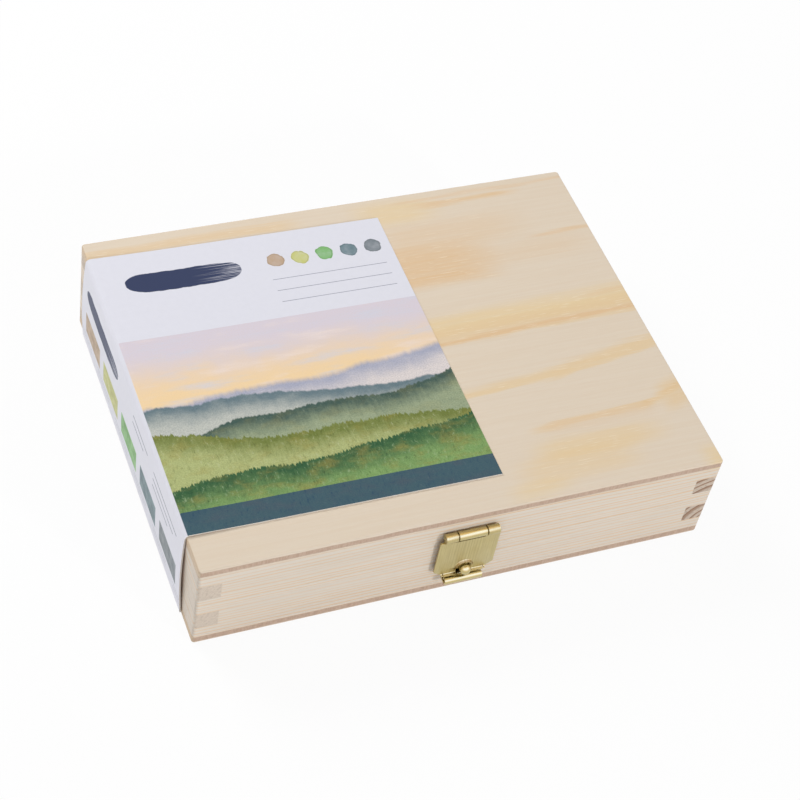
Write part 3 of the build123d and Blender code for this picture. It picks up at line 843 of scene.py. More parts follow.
    def top_print(self, graph: Graph, across: Socket, along: Socket, colour: Socket) -> Socket:
        """Stroke, row of paint dabs and hairlines printed on the white header.

        Args:
            graph: The material's graph.
            across: Place from the crease in millimetres.
            along: Place from the card's back edge in millimetres.
            colour: The card's white.

        Returns:
            The printed colour.
        """
        ink = self.swash(graph, across, along, 8.5, 46.0, 13.4, 4.1)
        colour = graph.mix(graph.product(ink, 0.96), colour, NAVY)
        wet = graph.field(across, along, 2.0, detail=3.0, scale=0.45)
        for number, swatch in enumerate(SWATCH_COLOURS):
            sideways = graph.less(across, self.dab_start + self.dab_pitch * number)
            lengthways = graph.less(along, self.dab_row + self.dab_stagger * (number % 2))
            squared = graph.sum(
                graph.product(sideways, sideways), graph.product(lengthways, lengthways)
            )
            inward = graph.less(graph.line(wet, 1.5, 2.1), graph.math("SQRT", squared))
            dab = graph.product(graph.smooth(inward, -0.08, 0.12), graph.line(wet, 0.5, 0.6))
            rim = graph.product(graph.inside(inward, 0.0, 0.55, 0.3), 0.45)
            colour = graph.mix(graph.math("MINIMUM", dab, 1.0), colour, swatch)
            colour = graph.mix(rim, colour, toward(swatch, 0.3))
        reach = graph.inside(across, 54.0, 92.5, 0.3)
        for line_at in self.top_lines:
            colour = self.hairline(graph, colour, along, line_at, 0.28, 0.1, reach, 0.75)
        return colour

    def spine_print(self, graph: Graph, down: Socket, along: Socket, colour: Socket) -> Socket:
        """Stroke, swatches with hairlines below them, and a block of hairlines on the spine.

        Args:
            graph: The material's graph.
            down: Place below the crease in millimetres.
            along: Place from the card's back edge in millimetres.
            colour: The card's white.

        Returns:
            The printed colour.
        """
        ink = self.swash(graph, along, down, 5.0, 41.5, 9.4, 2.9)
        colour = graph.mix(graph.product(ink, 0.96), colour, NAVY)
        row = graph.inside(down, 17.5, 26.4, 0.15)
        for number, swatch in enumerate(SWATCH_COLOURS):
            start = self.swatch_start + self.swatch_pitch * number
            cell = graph.product(row, graph.inside(along, start, start + self.swatch_length, 0.15))
            mottle = graph.field(down, along, 17.0 * number, detail=5.0, rough=0.65, scale=0.25)
            lighter = toward(swatch, 0.22, 235)
            deeper = toward(swatch, 0.14)
            colour = graph.mix(cell, colour, graph.wash(deeper, lighter, mottle, 0.3, 0.7))
        turn = graph.math("PINGPONG", graph.less(along, self.swatch_start), self.swatch_pitch / 2)
        below = graph.math("LESS_THAN", turn, self.caption_length)
        for line_at in self.caption_lines:
            colour = self.hairline(graph, colour, down, line_at, 0.5, 0.16, below, 0.4)
        for line_at, low, high in self.spine_lines:
            reach = graph.inside(along, low, high, 0.3)
            colour = self.hairline(graph, colour, down, line_at, 0.5, 0.12, reach, 0.8)
        return colour

    def paint(self, graph: Graph, shader: bpy.types.Node) -> None:
        """White header and spine with their prints, and the picture panel with its veiled foot.

        Args:
            graph: The material's graph.
            shader: Its shader, whose inputs are filled.
        """
        coordinates = graph.add("ShaderNodeTexCoord").outputs["UV"]
        scaled = graph.add("ShaderNodeVectorMath", {0: coordinates, "Scale": MAP_MM}, operation="SCALE")
        across, along, _ = graph.split(scaled.outputs[0])
        stock = graph.field(across, along, 4.0, detail=3.0, scale=0.5)
        white = graph.mix(stock, (224, 224, 233), (219, 219, 228))
        top = self.top_print(graph, across, along, white)
        picture = graph.inside(along, self.header, self.length + 5.0, 0.15)
        veil = graph.smooth(along, self.length - self.band - 0.1, self.length - self.band + 0.1)
        veiled = graph.mix(graph.product(veil, 0.8), self.hills(graph, across, along), (38, 66, 106))
        top = graph.mix(picture, top, veiled)
        spine = self.spine_print(graph, graph.product(across, -1.0), along, white)
        colour = graph.wash(spine, top, across, 0.35, 0.5)
        graph.surface(
            shader, colour, graph.line(stock, 0.12, 0.34), stock, 0.03, 0.3, Specular_IOR_Level=0.18
        )


@dataclass(frozen=True)
class BareCard(Finish):
    """Uncoated card: white pulp for the cut edges, and a warm brown inside that is painted shade."""

    pale: Colour
    deep: Colour

    def paint(self, graph: Graph, shader: bpy.types.Node) -> None:
        """Soft fibre mottling.

        Args:
            graph: The material's graph.
            shader: Its shader, whose inputs are filled.
        """
        x, y, z = graph.place_mm()
        pulp = graph.field(x, y, z, detail=4.0, rough=0.65, scale=1.4)
        colour = graph.mix(pulp, self.pale, self.deep)
        graph.surface(shader, colour, graph.line(pulp, 0.1, 0.75), pulp, 0.04, 0.5)


@dataclass(frozen=True)
class TubeMetal(Finish):
    """Soft aluminium, a little creased."""

    def paint(self, graph: Graph, shader: bpy.types.Node) -> None:
        """Satin metal with dull patches and dents.

        Args:
            graph: The material's graph.
            shader: Its shader, whose inputs are filled.
        """
        x, y, z = graph.place_mm()
        dents = graph.field(x, (y, 0.5), z, detail=3.0, scale=0.16)
        scuff = graph.field(x, y, z, detail=3.0, rough=0.6, scale=2.2)
        colour = graph.mix(scuff, (226, 227, 229), WORN_METAL)
        graph.surface(shader, colour, graph.line(scuff, 0.2, 0.24), dents, 0.8, 0.5, Metallic=1.0)


@dataclass(frozen=True)
class TubeLabel(Finish):
    """White lacquer on a tube with a painted band of its colour; its map runs along and round."""

    paint_colour: Colour
    seed: float

    def paint(self, graph: Graph, shader: bpy.types.Node) -> None:
        """White lacquer, colour band and two hairlines, with spots rubbed down to bare metal.

        Args:
            graph: The material's graph.
            shader: Its shader, whose inputs are filled.
        """
        x, y, z = graph.place_mm()
        along, _, _ = graph.split(graph.add("ShaderNodeTexCoord").outputs["UV"])
        tone = graph.field(x, y, z, detail=3.0, scale=0.4)
        colour = graph.mix(tone, (236, 236, 234), (226, 226, 224))
        wash = graph.field(x, y, (z, 1.0, self.seed), detail=4.0, rough=0.6, scale=0.35)
        deep = toward(self.paint_colour, 0.25)
        band = graph.inside(along, 0.10, 0.36, 0.004)
        colour = graph.mix(band, colour, graph.mix(wash, self.paint_colour, deep))
        for low in (0.06, 0.385, 0.86):
            colour = graph.mix(graph.inside(along, low, low + 0.009, 0.002), colour, (52, 66, 104))
        wear = graph.smooth(
            graph.field(x, y, (z, 1.0, self.seed), detail=5.0, rough=0.7, scale=1.9), 0.74, 0.77
        )
        colour = graph.mix(wear, colour, WORN_METAL)
        dents = graph.field(x, (y, 0.5, self.seed), z, detail=3.0, scale=0.14)
        graph.surface(shader, colour, graph.line(tone, 0.12, 0.24), dents, 0.9, 0.5, Metallic=wear)


@dataclass(frozen=True)
class CapPlastic(Finish):
    """White moulded plastic."""

    def paint(self, graph: Graph, shader: bpy.types.Node) -> None:
        """Smooth plastic with faint mould marks.

        Args:
            graph: The material's graph.
            shader: Its shader, whose inputs are filled.
        """
        x, y, z = graph.place_mm()
        marks = graph.field(x, y, z, detail=3.0, scale=1.2)
        colour = graph.mix(marks, (236, 235, 230), (228, 227, 221))
        graph.surface(shader, colour, graph.line(marks, 0.14, 0.26), marks, 0.03, 0.4)


LID_PLY = Plywood("lid_plywood_finish", LID_FIGURE, 31.8, 0.62, 2.68, 2.0)
BASE_PLY = Plywood("base_plywood_finish", BASE_FIGURE, 0.0, 0.62, 2.85, 11.0)
FRONT_PINE = Pine("front_pine_finish", Grain.X, (-75.0, 140.0), 1.4, 0.9, 0.12, 0.25, 1.0)
BACK_PINE = Pine("back_pine_finish", Grain.X, (90.0, -120.0), 1.6, 0.8, 0.3, 0.6, 6.0)
LEFT_PINE = Pine("left_pine_finish", Grain.Y, (-150.0, 60.0), 1.2, 0.6, 0.06, 0.68, 3.0)
RIGHT_PINE = Pine("right_pine_finish", Grain.Y, (86.0, 4.0), 2.8, 0.7, 1.0, 1.0, 8.0)
FLAP_BRASS = Brass("flap_brass_finish", Brush.UP, 0.34, 1.0, 0.26)
BARREL_BRASS = Brass("barrel_brass_finish", Brush.ALONG, 0.2, 0.0, 0.15)
SLAT_WOOD = PlainWood("slat_finish", 2.0)
CARD_PRINT = PrintedCard("printed_card_finish")
CARD_EDGE = BareCard("card_edge_finish", (222, 218, 212), (200, 193, 184))
# Painted shade: the card's inside is warm brown, so the narrow gap between the spine and the left wall
# shows as a warm dark shadow.
CARD_INSIDE_SHADE = BareCard("card_inside_painted_shade_finish", (204, 158, 126), (180, 132, 102))
TUBE_BARE = TubeMetal("tube_metal_finish")
CAP_WHITE = CapPlastic("cap_finish")


def settle(piece: bpy.types.Object, body: str, replaced: Sequence[str]) -> None:
    """Put a finished piece on its body and hide what it stands for.

    Args:
        piece: The finished piece.
        body: The body that it moves with.
        replaced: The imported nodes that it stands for.
    """
    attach(piece, body)
    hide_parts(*replaced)
    log.info("%s: %d faces on %s", piece.name, len(piece.data.polygons), body)


def placed(name: str, data: bpy.types.ID) -> bpy.types.Object:
    """New object of its data, linked to the scene.

    Args:
        name: The object's name.
        data: Its mesh, light or camera.

    Returns:
        The object.
    """
    thing = bpy.data.objects.new(name, data)
    bpy.context.scene.collection.objects.link(thing)
    return thing


def mesh_of(name: str, source: bmesh.types.BMesh) -> bpy.types.Mesh:
    """Mesh of an edit mesh, which is freed.

    Args:
        name: The mesh's name.
        source: The edit mesh.

    Returns:
        The plain mesh.
    """
    mesh = bpy.data.meshes.new(name)
    source.to_mesh(mesh)
    source.free()
    return mesh


def object_of(name: str, mesh: bpy.types.Mesh, finishes: Sequence[Finish]) -> bpy.types.Object:
    """New object of a mesh with its finishes as material slots.

    Args:
        name: The piece's name.
        mesh: Its mesh.
        finishes: One finish for each material number used in the mesh.

    Returns:
        The object, linked to the scene.
    """
    piece = placed(name, mesh)
    for finish in finishes:
        mesh.materials.append(finish.material())
    return piece


def bake_modifiers(piece: bpy.types.Object) -> None:
    """Turn a piece and its modifiers into a plain mesh.

    Args:
        piece: The piece, whose mesh is replaced.
    """
    evaluated = piece.evaluated_get(bpy.context.evaluated_depsgraph_get())
    mesh = bpy.data.meshes.new_from_object(evaluated)
    piece.modifiers.clear()
    piece.data = mesh


def soften(mesh: bpy.types.Mesh, angle: float = 40) -> None:
    """Shade a mesh smooth up to an edge angle in degrees, and sharp beyond it."""
    mesh.shade_smooth()
    mesh.set_sharp_from_angle(angle=math.radians(angle))


def eased_copy(
    node: str, name: str, finish: Finish, bevel: float, segments: int = 2
) -> bpy.types.Object:
    """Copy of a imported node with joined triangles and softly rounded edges.

    Args:
        node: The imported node.
        name: The new piece's name.
        finish: Its finish.
        bevel: Width of the rounding in metres.
        segments: Steps in the rounding.

    Returns:
        The new piece.
    """
    source = bmesh.new()
    source.from_mesh(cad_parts[node].data)
    bmesh.ops.remove_doubles(source, verts=source.verts, dist=1e-7)
    bmesh.ops.dissolve_limit(
        source, angle_limit=math.radians(0.6), verts=source.verts, edges=source.edges
    )
    piece = object_of(name, mesh_of(name, source), [finish])
    rounding = piece.modifiers.new("rounding", "BEVEL")
    rounding.width = bevel
    rounding.segments = segments
    rounding.limit_method = "ANGLE"
    rounding.angle_limit = math.radians(35)
    rounding.use_clamp_overlap = True
    bake_modifiers(piece)
    soften(piece.data)
    return piece


@dataclass
class WoodenBox:
    """Plywood panels on finger-jointed pine rails."""

    rail_ease: float = 0.04 * MM
    panel_ease: float = 0.10 * MM
    seam: float = 18.0 * MM
    seam_reach: float = 0.07 * MM
    seam_share: float = 0.25
    rails: dict[str, Finish] = field(default_factory=lambda: {
        "front": FRONT_PINE, "back": BACK_PINE, "left": LEFT_PINE, "right": RIGHT_PINE,
    })

    def build(self) -> None:
        """Dress both panels and all eight rails."""
        for body, finish in (("lid", LID_PLY), ("base", BASE_PLY)):
            panel = eased_copy(f"{body}_panel", f"{body}_plywood", finish, self.panel_ease)
            settle(panel, body, [f"{body}_panel"])
            for side, pine in self.rails.items():
                node = f"{body}_{side}_rail"
                rail = eased_copy(node, f"{body}_{side}_pine", pine, self.rail_ease)
                for corner in rail.data.vertices:
                    off = corner.co.z - self.seam
                    if abs(off) < self.seam_reach:
                        corner.co.z = self.seam + off * self.seam_share
                settle(rail, body, [node])


@dataclass
class BrassFittings:
    """Latch, catch and hinges."""

    ease: float = 0.09 * MM

    def build(self) -> None:
        """Dress each brass piece on its body."""
        pieces = [
            ("latch_flap", "latch", FLAP_BRASS), ("latch_backplate", "lid", BARREL_BRASS),
            ("latch_pin", "lid", BARREL_BRASS), ("catch_plate", "base", BARREL_BRASS),
            ("catch_stud", "base", BARREL_BRASS),
        ]
        for side in ("left", "right"):
            pieces.append((f"{side}_hinge_lid_leaf", "lid", BARREL_BRASS))
            pieces.append((f"{side}_hinge_base_leaf", "base", BARREL_BRASS))
            pieces.append((f"{side}_hinge_pin", "base", BARREL_BRASS))
        for node, body, finish in pieces:
            piece = eased_copy(node, f"{node}_brass", finish, self.ease)
            settle(piece, body, [node])


@dataclass
class CardCover:
    """Printed card that lies on the lid and folds down over the left side; millimetres."""

    thickness: float = 0.45
    reach: float = 96.2
    length: float = 109.8
    back_margin: float = 7.7
    back_slant: float = 1.2
    front_slant: float = 0.8
    back_spread: float = 0.4
    front_spread: float = 1.9
    flat_start: float = 20.0
    crease_lift: float = 0.3
    crease_bend: float = 1.3
    crease_out: float = 0.32
    bulge_out: float = 1.045
    foot: float = 1.2
    flat_steps: int = 8
    rise_steps: int = 6
    bend_steps: int = 10
    spine_steps: int = 14
    rows: int = 12

    def profile(self) -> list[Point]:
        """Middle line of the card: place along, height, and distance printed from the crease.

        Returns:
            Points from the free edge on the lid to the foot of the spine.
        """
        level = self.thickness / 2
        run = (self.reach - self.flat_start) / self.flat_steps
        points = [(self.reach - step * run, level) for step in range(self.flat_steps + 1)]
        start = Vector((self.flat_start, level))
        lift = Vector((self.crease_bend - self.crease_out, level + self.crease_lift))
        points += [
            tuple(start.lerp(lift, (step + 1) / self.rise_steps)) for step in range(self.rise_steps)
        ]
        heading = (lift - start).normalized()
        inward = Vector((-heading.y, heading.x))
        centre = lift + inward * self.crease_bend
        spoke = lift - centre
        for step in range(self.bend_steps):
            turn = Matrix.Rotation(math.radians(90 * (step + 1) / self.bend_steps), 2)
            points.append(tuple(centre + turn @ spoke))
        points += self.spine(Vector(points[-1]))
        crease = self.flat_steps + self.rise_steps + self.bend_steps // 2
        travelled = [0.0]
        for first, second in zip(points, points[1:]):
            travelled.append(travelled[-1] + (Vector(second) - Vector(first)).length)
        return [(x, z, travelled[crease] - run) for (x, z), run in zip(points, travelled)]

    def spine(self, top: Vector) -> list[tuple[float, float]]:
        """Points of the bowed spine below the crease, on the arc through three points.

        Args:
            top: End of the crease, from the lid's left edge.

        Returns:
            Places along and heights, down to the foot.
        """
        middle = Vector((-self.bulge_out, -BOX_HEIGHT / 2))
        end = Vector((-self.crease_out, -BOX_HEIGHT))
        ax, ay, bx, by, cx, cy = *top, *middle, *end
        d = 2 * (ax * (by - cy) + bx * (cy - ay) + cx * (ay - by))
        aa, bb, cc = ax * ax + ay * ay, bx * bx + by * by, cx * cx + cy * cy
        centre = Vector((
            (aa * (by - cy) + bb * (cy - ay) + cc * (ay - by)) / d,
            (aa * (cx - bx) + bb * (ax - cx) + cc * (bx - ax)) / d,
        ))
        radius = (top - centre).length
        first = math.asin((top.y - centre.y) / radius)
        last = math.asin((self.foot - BOX_HEIGHT - centre.y) / radius)
        return [
            (centre.x - radius * math.cos(a), centre.y + radius * math.sin(a))
            for a in (
                first + (last - first) * (n + 1) / self.spine_steps for n in range(self.spine_steps)
            )
        ]

    def ends(self, x: float, z: float) -> tuple[float, float]:
        """Back and front end of the card at a place of its profile.

        Args:
            x: Place along the profile.
            z: Its height, from the lid's top.

        Returns:
            Back end and front end, along the box.
        """
        back = BOX_DEPTH / 2 - self.back_margin
        front = back - self.length
        crease_x = self.crease_bend - self.crease_out
        share = max(0.0, (x - crease_x) / (self.reach - crease_x))
        drop = max(0.0, (-self.crease_bend - z) / (BOX_HEIGHT - self.crease_bend - self.foot))
        back += self.back_spread * drop - self.back_slant * share
        front -= self.front_spread * drop + self.front_slant * share
        return back, front

    def build(self) -> None:
        """Sweep the profile along the box and give the skin its printed map."""
        middle = self.profile()
        origin = Vector((-BOX_WIDTH / 2, 0.0, BOX_HEIGHT))
        sheet = bmesh.new()
        layer = sheet.loops.layers.uv.new("print")
        rims: list[list[list[bmesh.types.BMVert]]] = []
        for side in (1, -1):
            lines = []
            for number, (x, z, _) in enumerate(middle):
                before = Vector(middle[max(number - 1, 0)][:2])
                after = Vector(middle[min(number + 1, len(middle) - 1)][:2])
                heading = (after - before).normalized()
                out = Vector((heading.y, -heading.x)) * (side * self.thickness / 2)
                base = origin + Vector((x + out.x, 0.0, z + out.y))
                back, front = self.ends(x, z)
                lines.append([
                    sheet.verts.new(
                        (base + Vector((0, back + (front - back) * row / self.rows, 0))) * MM
                    )
                    for row in range(self.rows + 1)
                ])
            rims.append(lines)
        outer, inner = rims
        prints = [run for _, _, run in middle]

        def skin(lines: list[list[bmesh.types.BMVert]], flip: bool, material: int) -> None:
            """Faces of one skin of the card, with their printed map.

            Args:
                lines: Points of the skin, line by line.
                flip: Whether its faces are turned over.
                material: Its material number.
            """
            for i in range(len(lines) - 1):
                for j in range(self.rows):
                    corners = [(i, j), (i + 1, j), (i + 1, j + 1), (i, j + 1)]
                    if flip:
                        corners.reverse()
                    face = sheet.faces.new([lines[a][b] for a, b in corners])
                    face.material_index = material
                    for loop, (a, b) in zip(face.loops, corners):
                        printed = b / self.rows * self.length
                        loop[layer].uv = (prints[a] / MAP_MM, printed / MAP_MM)

        skin(outer, False, 0)
        # The inner skin takes the brown inside, which is painted shade for the gap at the spine.
        skin(inner, True, 2)
        last_point, last_row = len(middle) - 1, self.rows
        border = [(i, 0) for i in range(last_point + 1)]
        border += [(last_point, j) for j in range(1, last_row + 1)]
        border += [(i, last_row) for i in range(last_point - 1, -1, -1)]
        border += [(0, j) for j in range(last_row - 1, 0, -1)]
        for (a, b), (c, d) in zip(border, border[1:] + border[:1]):
            face = sheet.faces.new([outer[a][b], inner[a][b], inner[c][d], outer[c][d]])
            face.material_index = 1
        bmesh.ops.recalc_face_normals(sheet, faces=sheet.faces)
        mesh = mesh_of("card_sleeve", sheet)
        piece = object_of("card_sleeve", mesh, [CARD_PRINT, CARD_EDGE, CARD_INSIDE_SHADE])
        soften(mesh)
        settle(piece, "lid", ["card_cover"])


class NodeKit:
    """Geometry trees with named inputs, and the plain meshes that they make."""

    def __init__(self, name: str, inputs: dict[str, object]) -> None:
        """Open a tree with its named inputs.

        Args:
            name: The tree's name.
            inputs: Each input's name and value; its type follows the value's.
        """
        self.tree = bpy.data.node_groups.new(name, "GeometryNodeTree")
        self.graph = Graph(self.tree)
        self.inputs = inputs
        kinds = {float: "NodeSocketFloat", int: "NodeSocketInt", tuple: "NodeSocketVector"}
        self.keys = {}
        for label, value in inputs.items():
            kind = "NodeSocketMaterial" if isinstance(value, Finish) else kinds[type(value)]
            self.keys[label] = self.tree.interface.new_socket(
                name=label, in_out="INPUT", socket_type=kind
            ).identifier
        self.tree.interface.new_socket(
            name="Geometry", in_out="OUTPUT", socket_type="NodeSocketGeometry"
        )
        self.given = self.graph.add("NodeGroupInput").outputs

    def row(self, count: Socket, spacing: Socket, level: Value = 0.0) -> Socket:
        """Points along X at a level, centred on the middle, for a count and a spacing.

        Args:
            count: Number of points.
            spacing: Distance between them.
            level: Their height.

        Returns:
            The points.
        """
        graph = self.graph
        start = graph.vector(graph.product(graph.less(count, 1.0), spacing, -0.5), 0.0, level)
        inputs = {"Count": count, "Start Location": start, "Offset": graph.vector(spacing, 0.0, 0.0)}
        return graph.add("GeometryNodeMeshLine", inputs).outputs[0]

    def moved(self, geometry: Socket, place: Value, turn: Value = (0.0, 0.0, 0.0)) -> Socket:
        """The geometry turned and then moved to a place."""
        inputs = {"Geometry": geometry, "Translation": place, "Rotation": turn}
        return self.graph.add("GeometryNodeTransform", inputs).outputs[0]

    def close(self, geometry: Socket) -> None:
        """End the tree in Realize Instances and Set Material.

        Args:
            geometry: What the tree has made.
        """
        real = self.graph.add("GeometryNodeRealizeInstances", {0: geometry}).outputs[0]
        dressed = self.graph.add(
            "GeometryNodeSetMaterial", {"Geometry": real, "Material": self.given["Finish"]}
        )
        self.graph.add("NodeGroupOutput", {0: dressed.outputs[0]})

    def run(self, name: str, finish: Finish, **changes: object) -> bpy.types.Object:
        """Make one plain mesh from the tree.

        Args:
            name: The piece's name.
            finish: Its finish.
            changes: Inputs that differ from the tree's own values, with _ for a space.

        Returns:
            The piece, with the modifier gone.
        """
        piece = placed(name, bpy.data.meshes.new(name))
        modifier = piece.modifiers.new("nodes", "NODES")
        modifier.node_group = self.tree
        values = dict(self.inputs)
        values.update({label.replace("_", " "): value for label, value in changes.items()})
        values["Finish"] = finish
        for label, value in values.items():
            modifier[self.keys[label]] = value.material() if isinstance(value, Finish) else value
        bake_modifiers(piece)
        return piece


@dataclass
class Screws:
    """Countersunk brass screws in a row of rows; millimetres."""

    head_radius: float = 1.3
    head_depth: float = 0.65
    shank_radius: float = 0.62
    length: float = 5.5
    tip: float = 1.5
    point_radius: float = 0.02
    slot_width: float = 0.4
    slot_depth: float = 0.3

    def tree(self) -> NodeKit:
        """Geometry tree of one screw set: slotted heads, shanks, and threads wound round them.

        Returns:
            The tree.
        """
        kit = NodeKit("screw_set", {
            "Finish": BARREL_BRASS,
            "Head Radius": self.head_radius * MM, "Head Depth": self.head_depth * MM,
            "Shank Radius": self.shank_radius * MM, "Length": self.length * MM, "Tip": self.tip * MM,
            "Slot Width": self.slot_width * MM, "Slot Depth": self.slot_depth * MM,
            "Far Count": 2, "Far Spacing": 0.0, "Near Count": 2, "Near Spacing": 0.0,
            "Turn": (0.0, 0.0, 0.0), "Place": (0.0, 0.0, 0.0),
        })
        graph, given = kit.graph, kit.given
        head = graph.add("GeometryNodeMeshCone", {
            "Vertices": 40, "Radius Top": given["Head Radius"], "Radius Bottom": given["Shank Radius"],
            "Depth": given["Head Depth"],
        }).outputs["Mesh"]
        sink = graph.vector(0.0, 0.0, graph.product(given["Head Depth"], -1.0))
        head = kit.moved(head, sink)
        slot_size = graph.vector(
            graph.product(given["Head Radius"], 3.0), given["Slot Width"],
            graph.product(given["Slot Depth"], 2.0),
        )
        slot = graph.add("GeometryNodeMeshCube", {"Size": slot_size}).outputs["Mesh"]
        cut = graph.add(
            "GeometryNodeMeshBoolean", {"Mesh 1": head, "Mesh 2": slot}, operation="DIFFERENCE"
        )
        straight = graph.less(graph.less(given["Length"], given["Tip"]), given["Head Depth"])
        shank = graph.add("GeometryNodeMeshCylinder", {
            "Vertices": 20, "Radius": given["Shank Radius"], "Depth": straight,
        }).outputs["Mesh"]
        shank_at = graph.product(graph.line(straight, 0.5, given["Head Depth"]), -1.0)
        shank = kit.moved(shank, graph.vector(0.0, 0.0, shank_at))
        point = graph.add("GeometryNodeMeshCone", {
            "Vertices": 20, "Radius Top": given["Shank Radius"],
            "Radius Bottom": self.point_radius * MM, "Depth": given["Tip"],
        }).outputs["Mesh"]
        point = kit.moved(point, graph.vector(0.0, 0.0, graph.product(given["Length"], -1.0)))
        screw = graph.add("GeometryNodeJoinGeometry")
        for part in (point, shank, cut.outputs["Mesh"]):
            graph.plug(screw.inputs[0], part)
        near = kit.row(given["Near Count"], given["Near Spacing"])
        far = kit.row(given["Far Count"], given["Far Spacing"])
        spots = graph.add("GeometryNodeInstanceOnPoints", {"Points": far, "Instance": near}).outputs[0]
        spots = graph.add("GeometryNodeRealizeInstances", {0: spots}).outputs[0]
        set_out = graph.add("GeometryNodeInstanceOnPoints", {
            "Points": spots, "Instance": screw.outputs[0], "Rotation": given["Turn"],
        }).outputs[0]
        kit.close(kit.moved(set_out, given["Place"]))
        return kit

    def build(self) -> None:
        """Screws of the latch, the catch and both halves of the hinges."""
        kit = self.tree()
        quarter = math.pi / 2
        sets = [
            ("latch_screws", "lid", 1, 0.0, 8.0, (quarter, 0.0, 0.0), (0.0, -65.6, 22.6)),
            ("catch_screws", "base", 1, 0.0, 8.0, (quarter, 0.0, 0.0), (0.0, -65.6, 14.2)),
            ("hinge_screws_lid", "lid", 2, 92.0, 12.0, (math.pi, 0.0, 0.0), (0.0, 62.2, 18.06)),
            ("hinge_screws_base", "base", 2, 92.0, 12.0, (0.0, 0.0, 0.0), (0.0, 62.2, 17.94)),
        ]
        for node, body, count, far, near, turn, place in sets:
            piece = kit.run(
                f"{node}_brass", BARREL_BRASS, Far_Count=count, Far_Spacing=far * MM,
                Near_Spacing=near * MM, Turn=turn, Place=tuple(part * MM for part in place),
            )
            soften(piece.data, 35)
            settle(piece, body, [node])


@dataclass
class Dividers:
    """Slats between the tube bays; millimetres."""

    count: int = 4
    thickness: float = 1.2
    depth: float = 115.6
    height: float = 13.0
    floor: float = 3.2
    ease: float = 0.25

    def build(self) -> None:
        """One row of slats from a geometry tree, with eased edges."""
        kit = NodeKit("slat_row", {
            "Finish": SLAT_WOOD, "Count": self.count, "Pitch": TUBE_PITCH * MM,
            "Thickness": self.thickness * MM, "Depth": self.depth * MM,
            "Height": self.height * MM, "Floor": self.floor * MM,
        })
        graph, given = kit.graph, kit.given
        size = graph.vector(given["Thickness"], given["Depth"], given["Height"])
        slat = graph.add("GeometryNodeMeshCube", {"Size": size}).outputs["Mesh"]
        points = kit.row(
            given["Count"], given["Pitch"], graph.line(given["Height"], 0.5, given["Floor"])
        )
        row = graph.add("GeometryNodeInstanceOnPoints", {"Points": points, "Instance": slat}).outputs[0]
        kit.close(row)
        piece = kit.run("divider_slats", SLAT_WOOD)
        rounding = piece.modifiers.new("rounding", "BEVEL")
        rounding.width = self.ease * MM
        rounding.segments = 3
        bake_modifiers(piece)
        soften(piece.data)
        settle(piece, "base", [f"divider_{n + 1}" for n in range(self.count)])


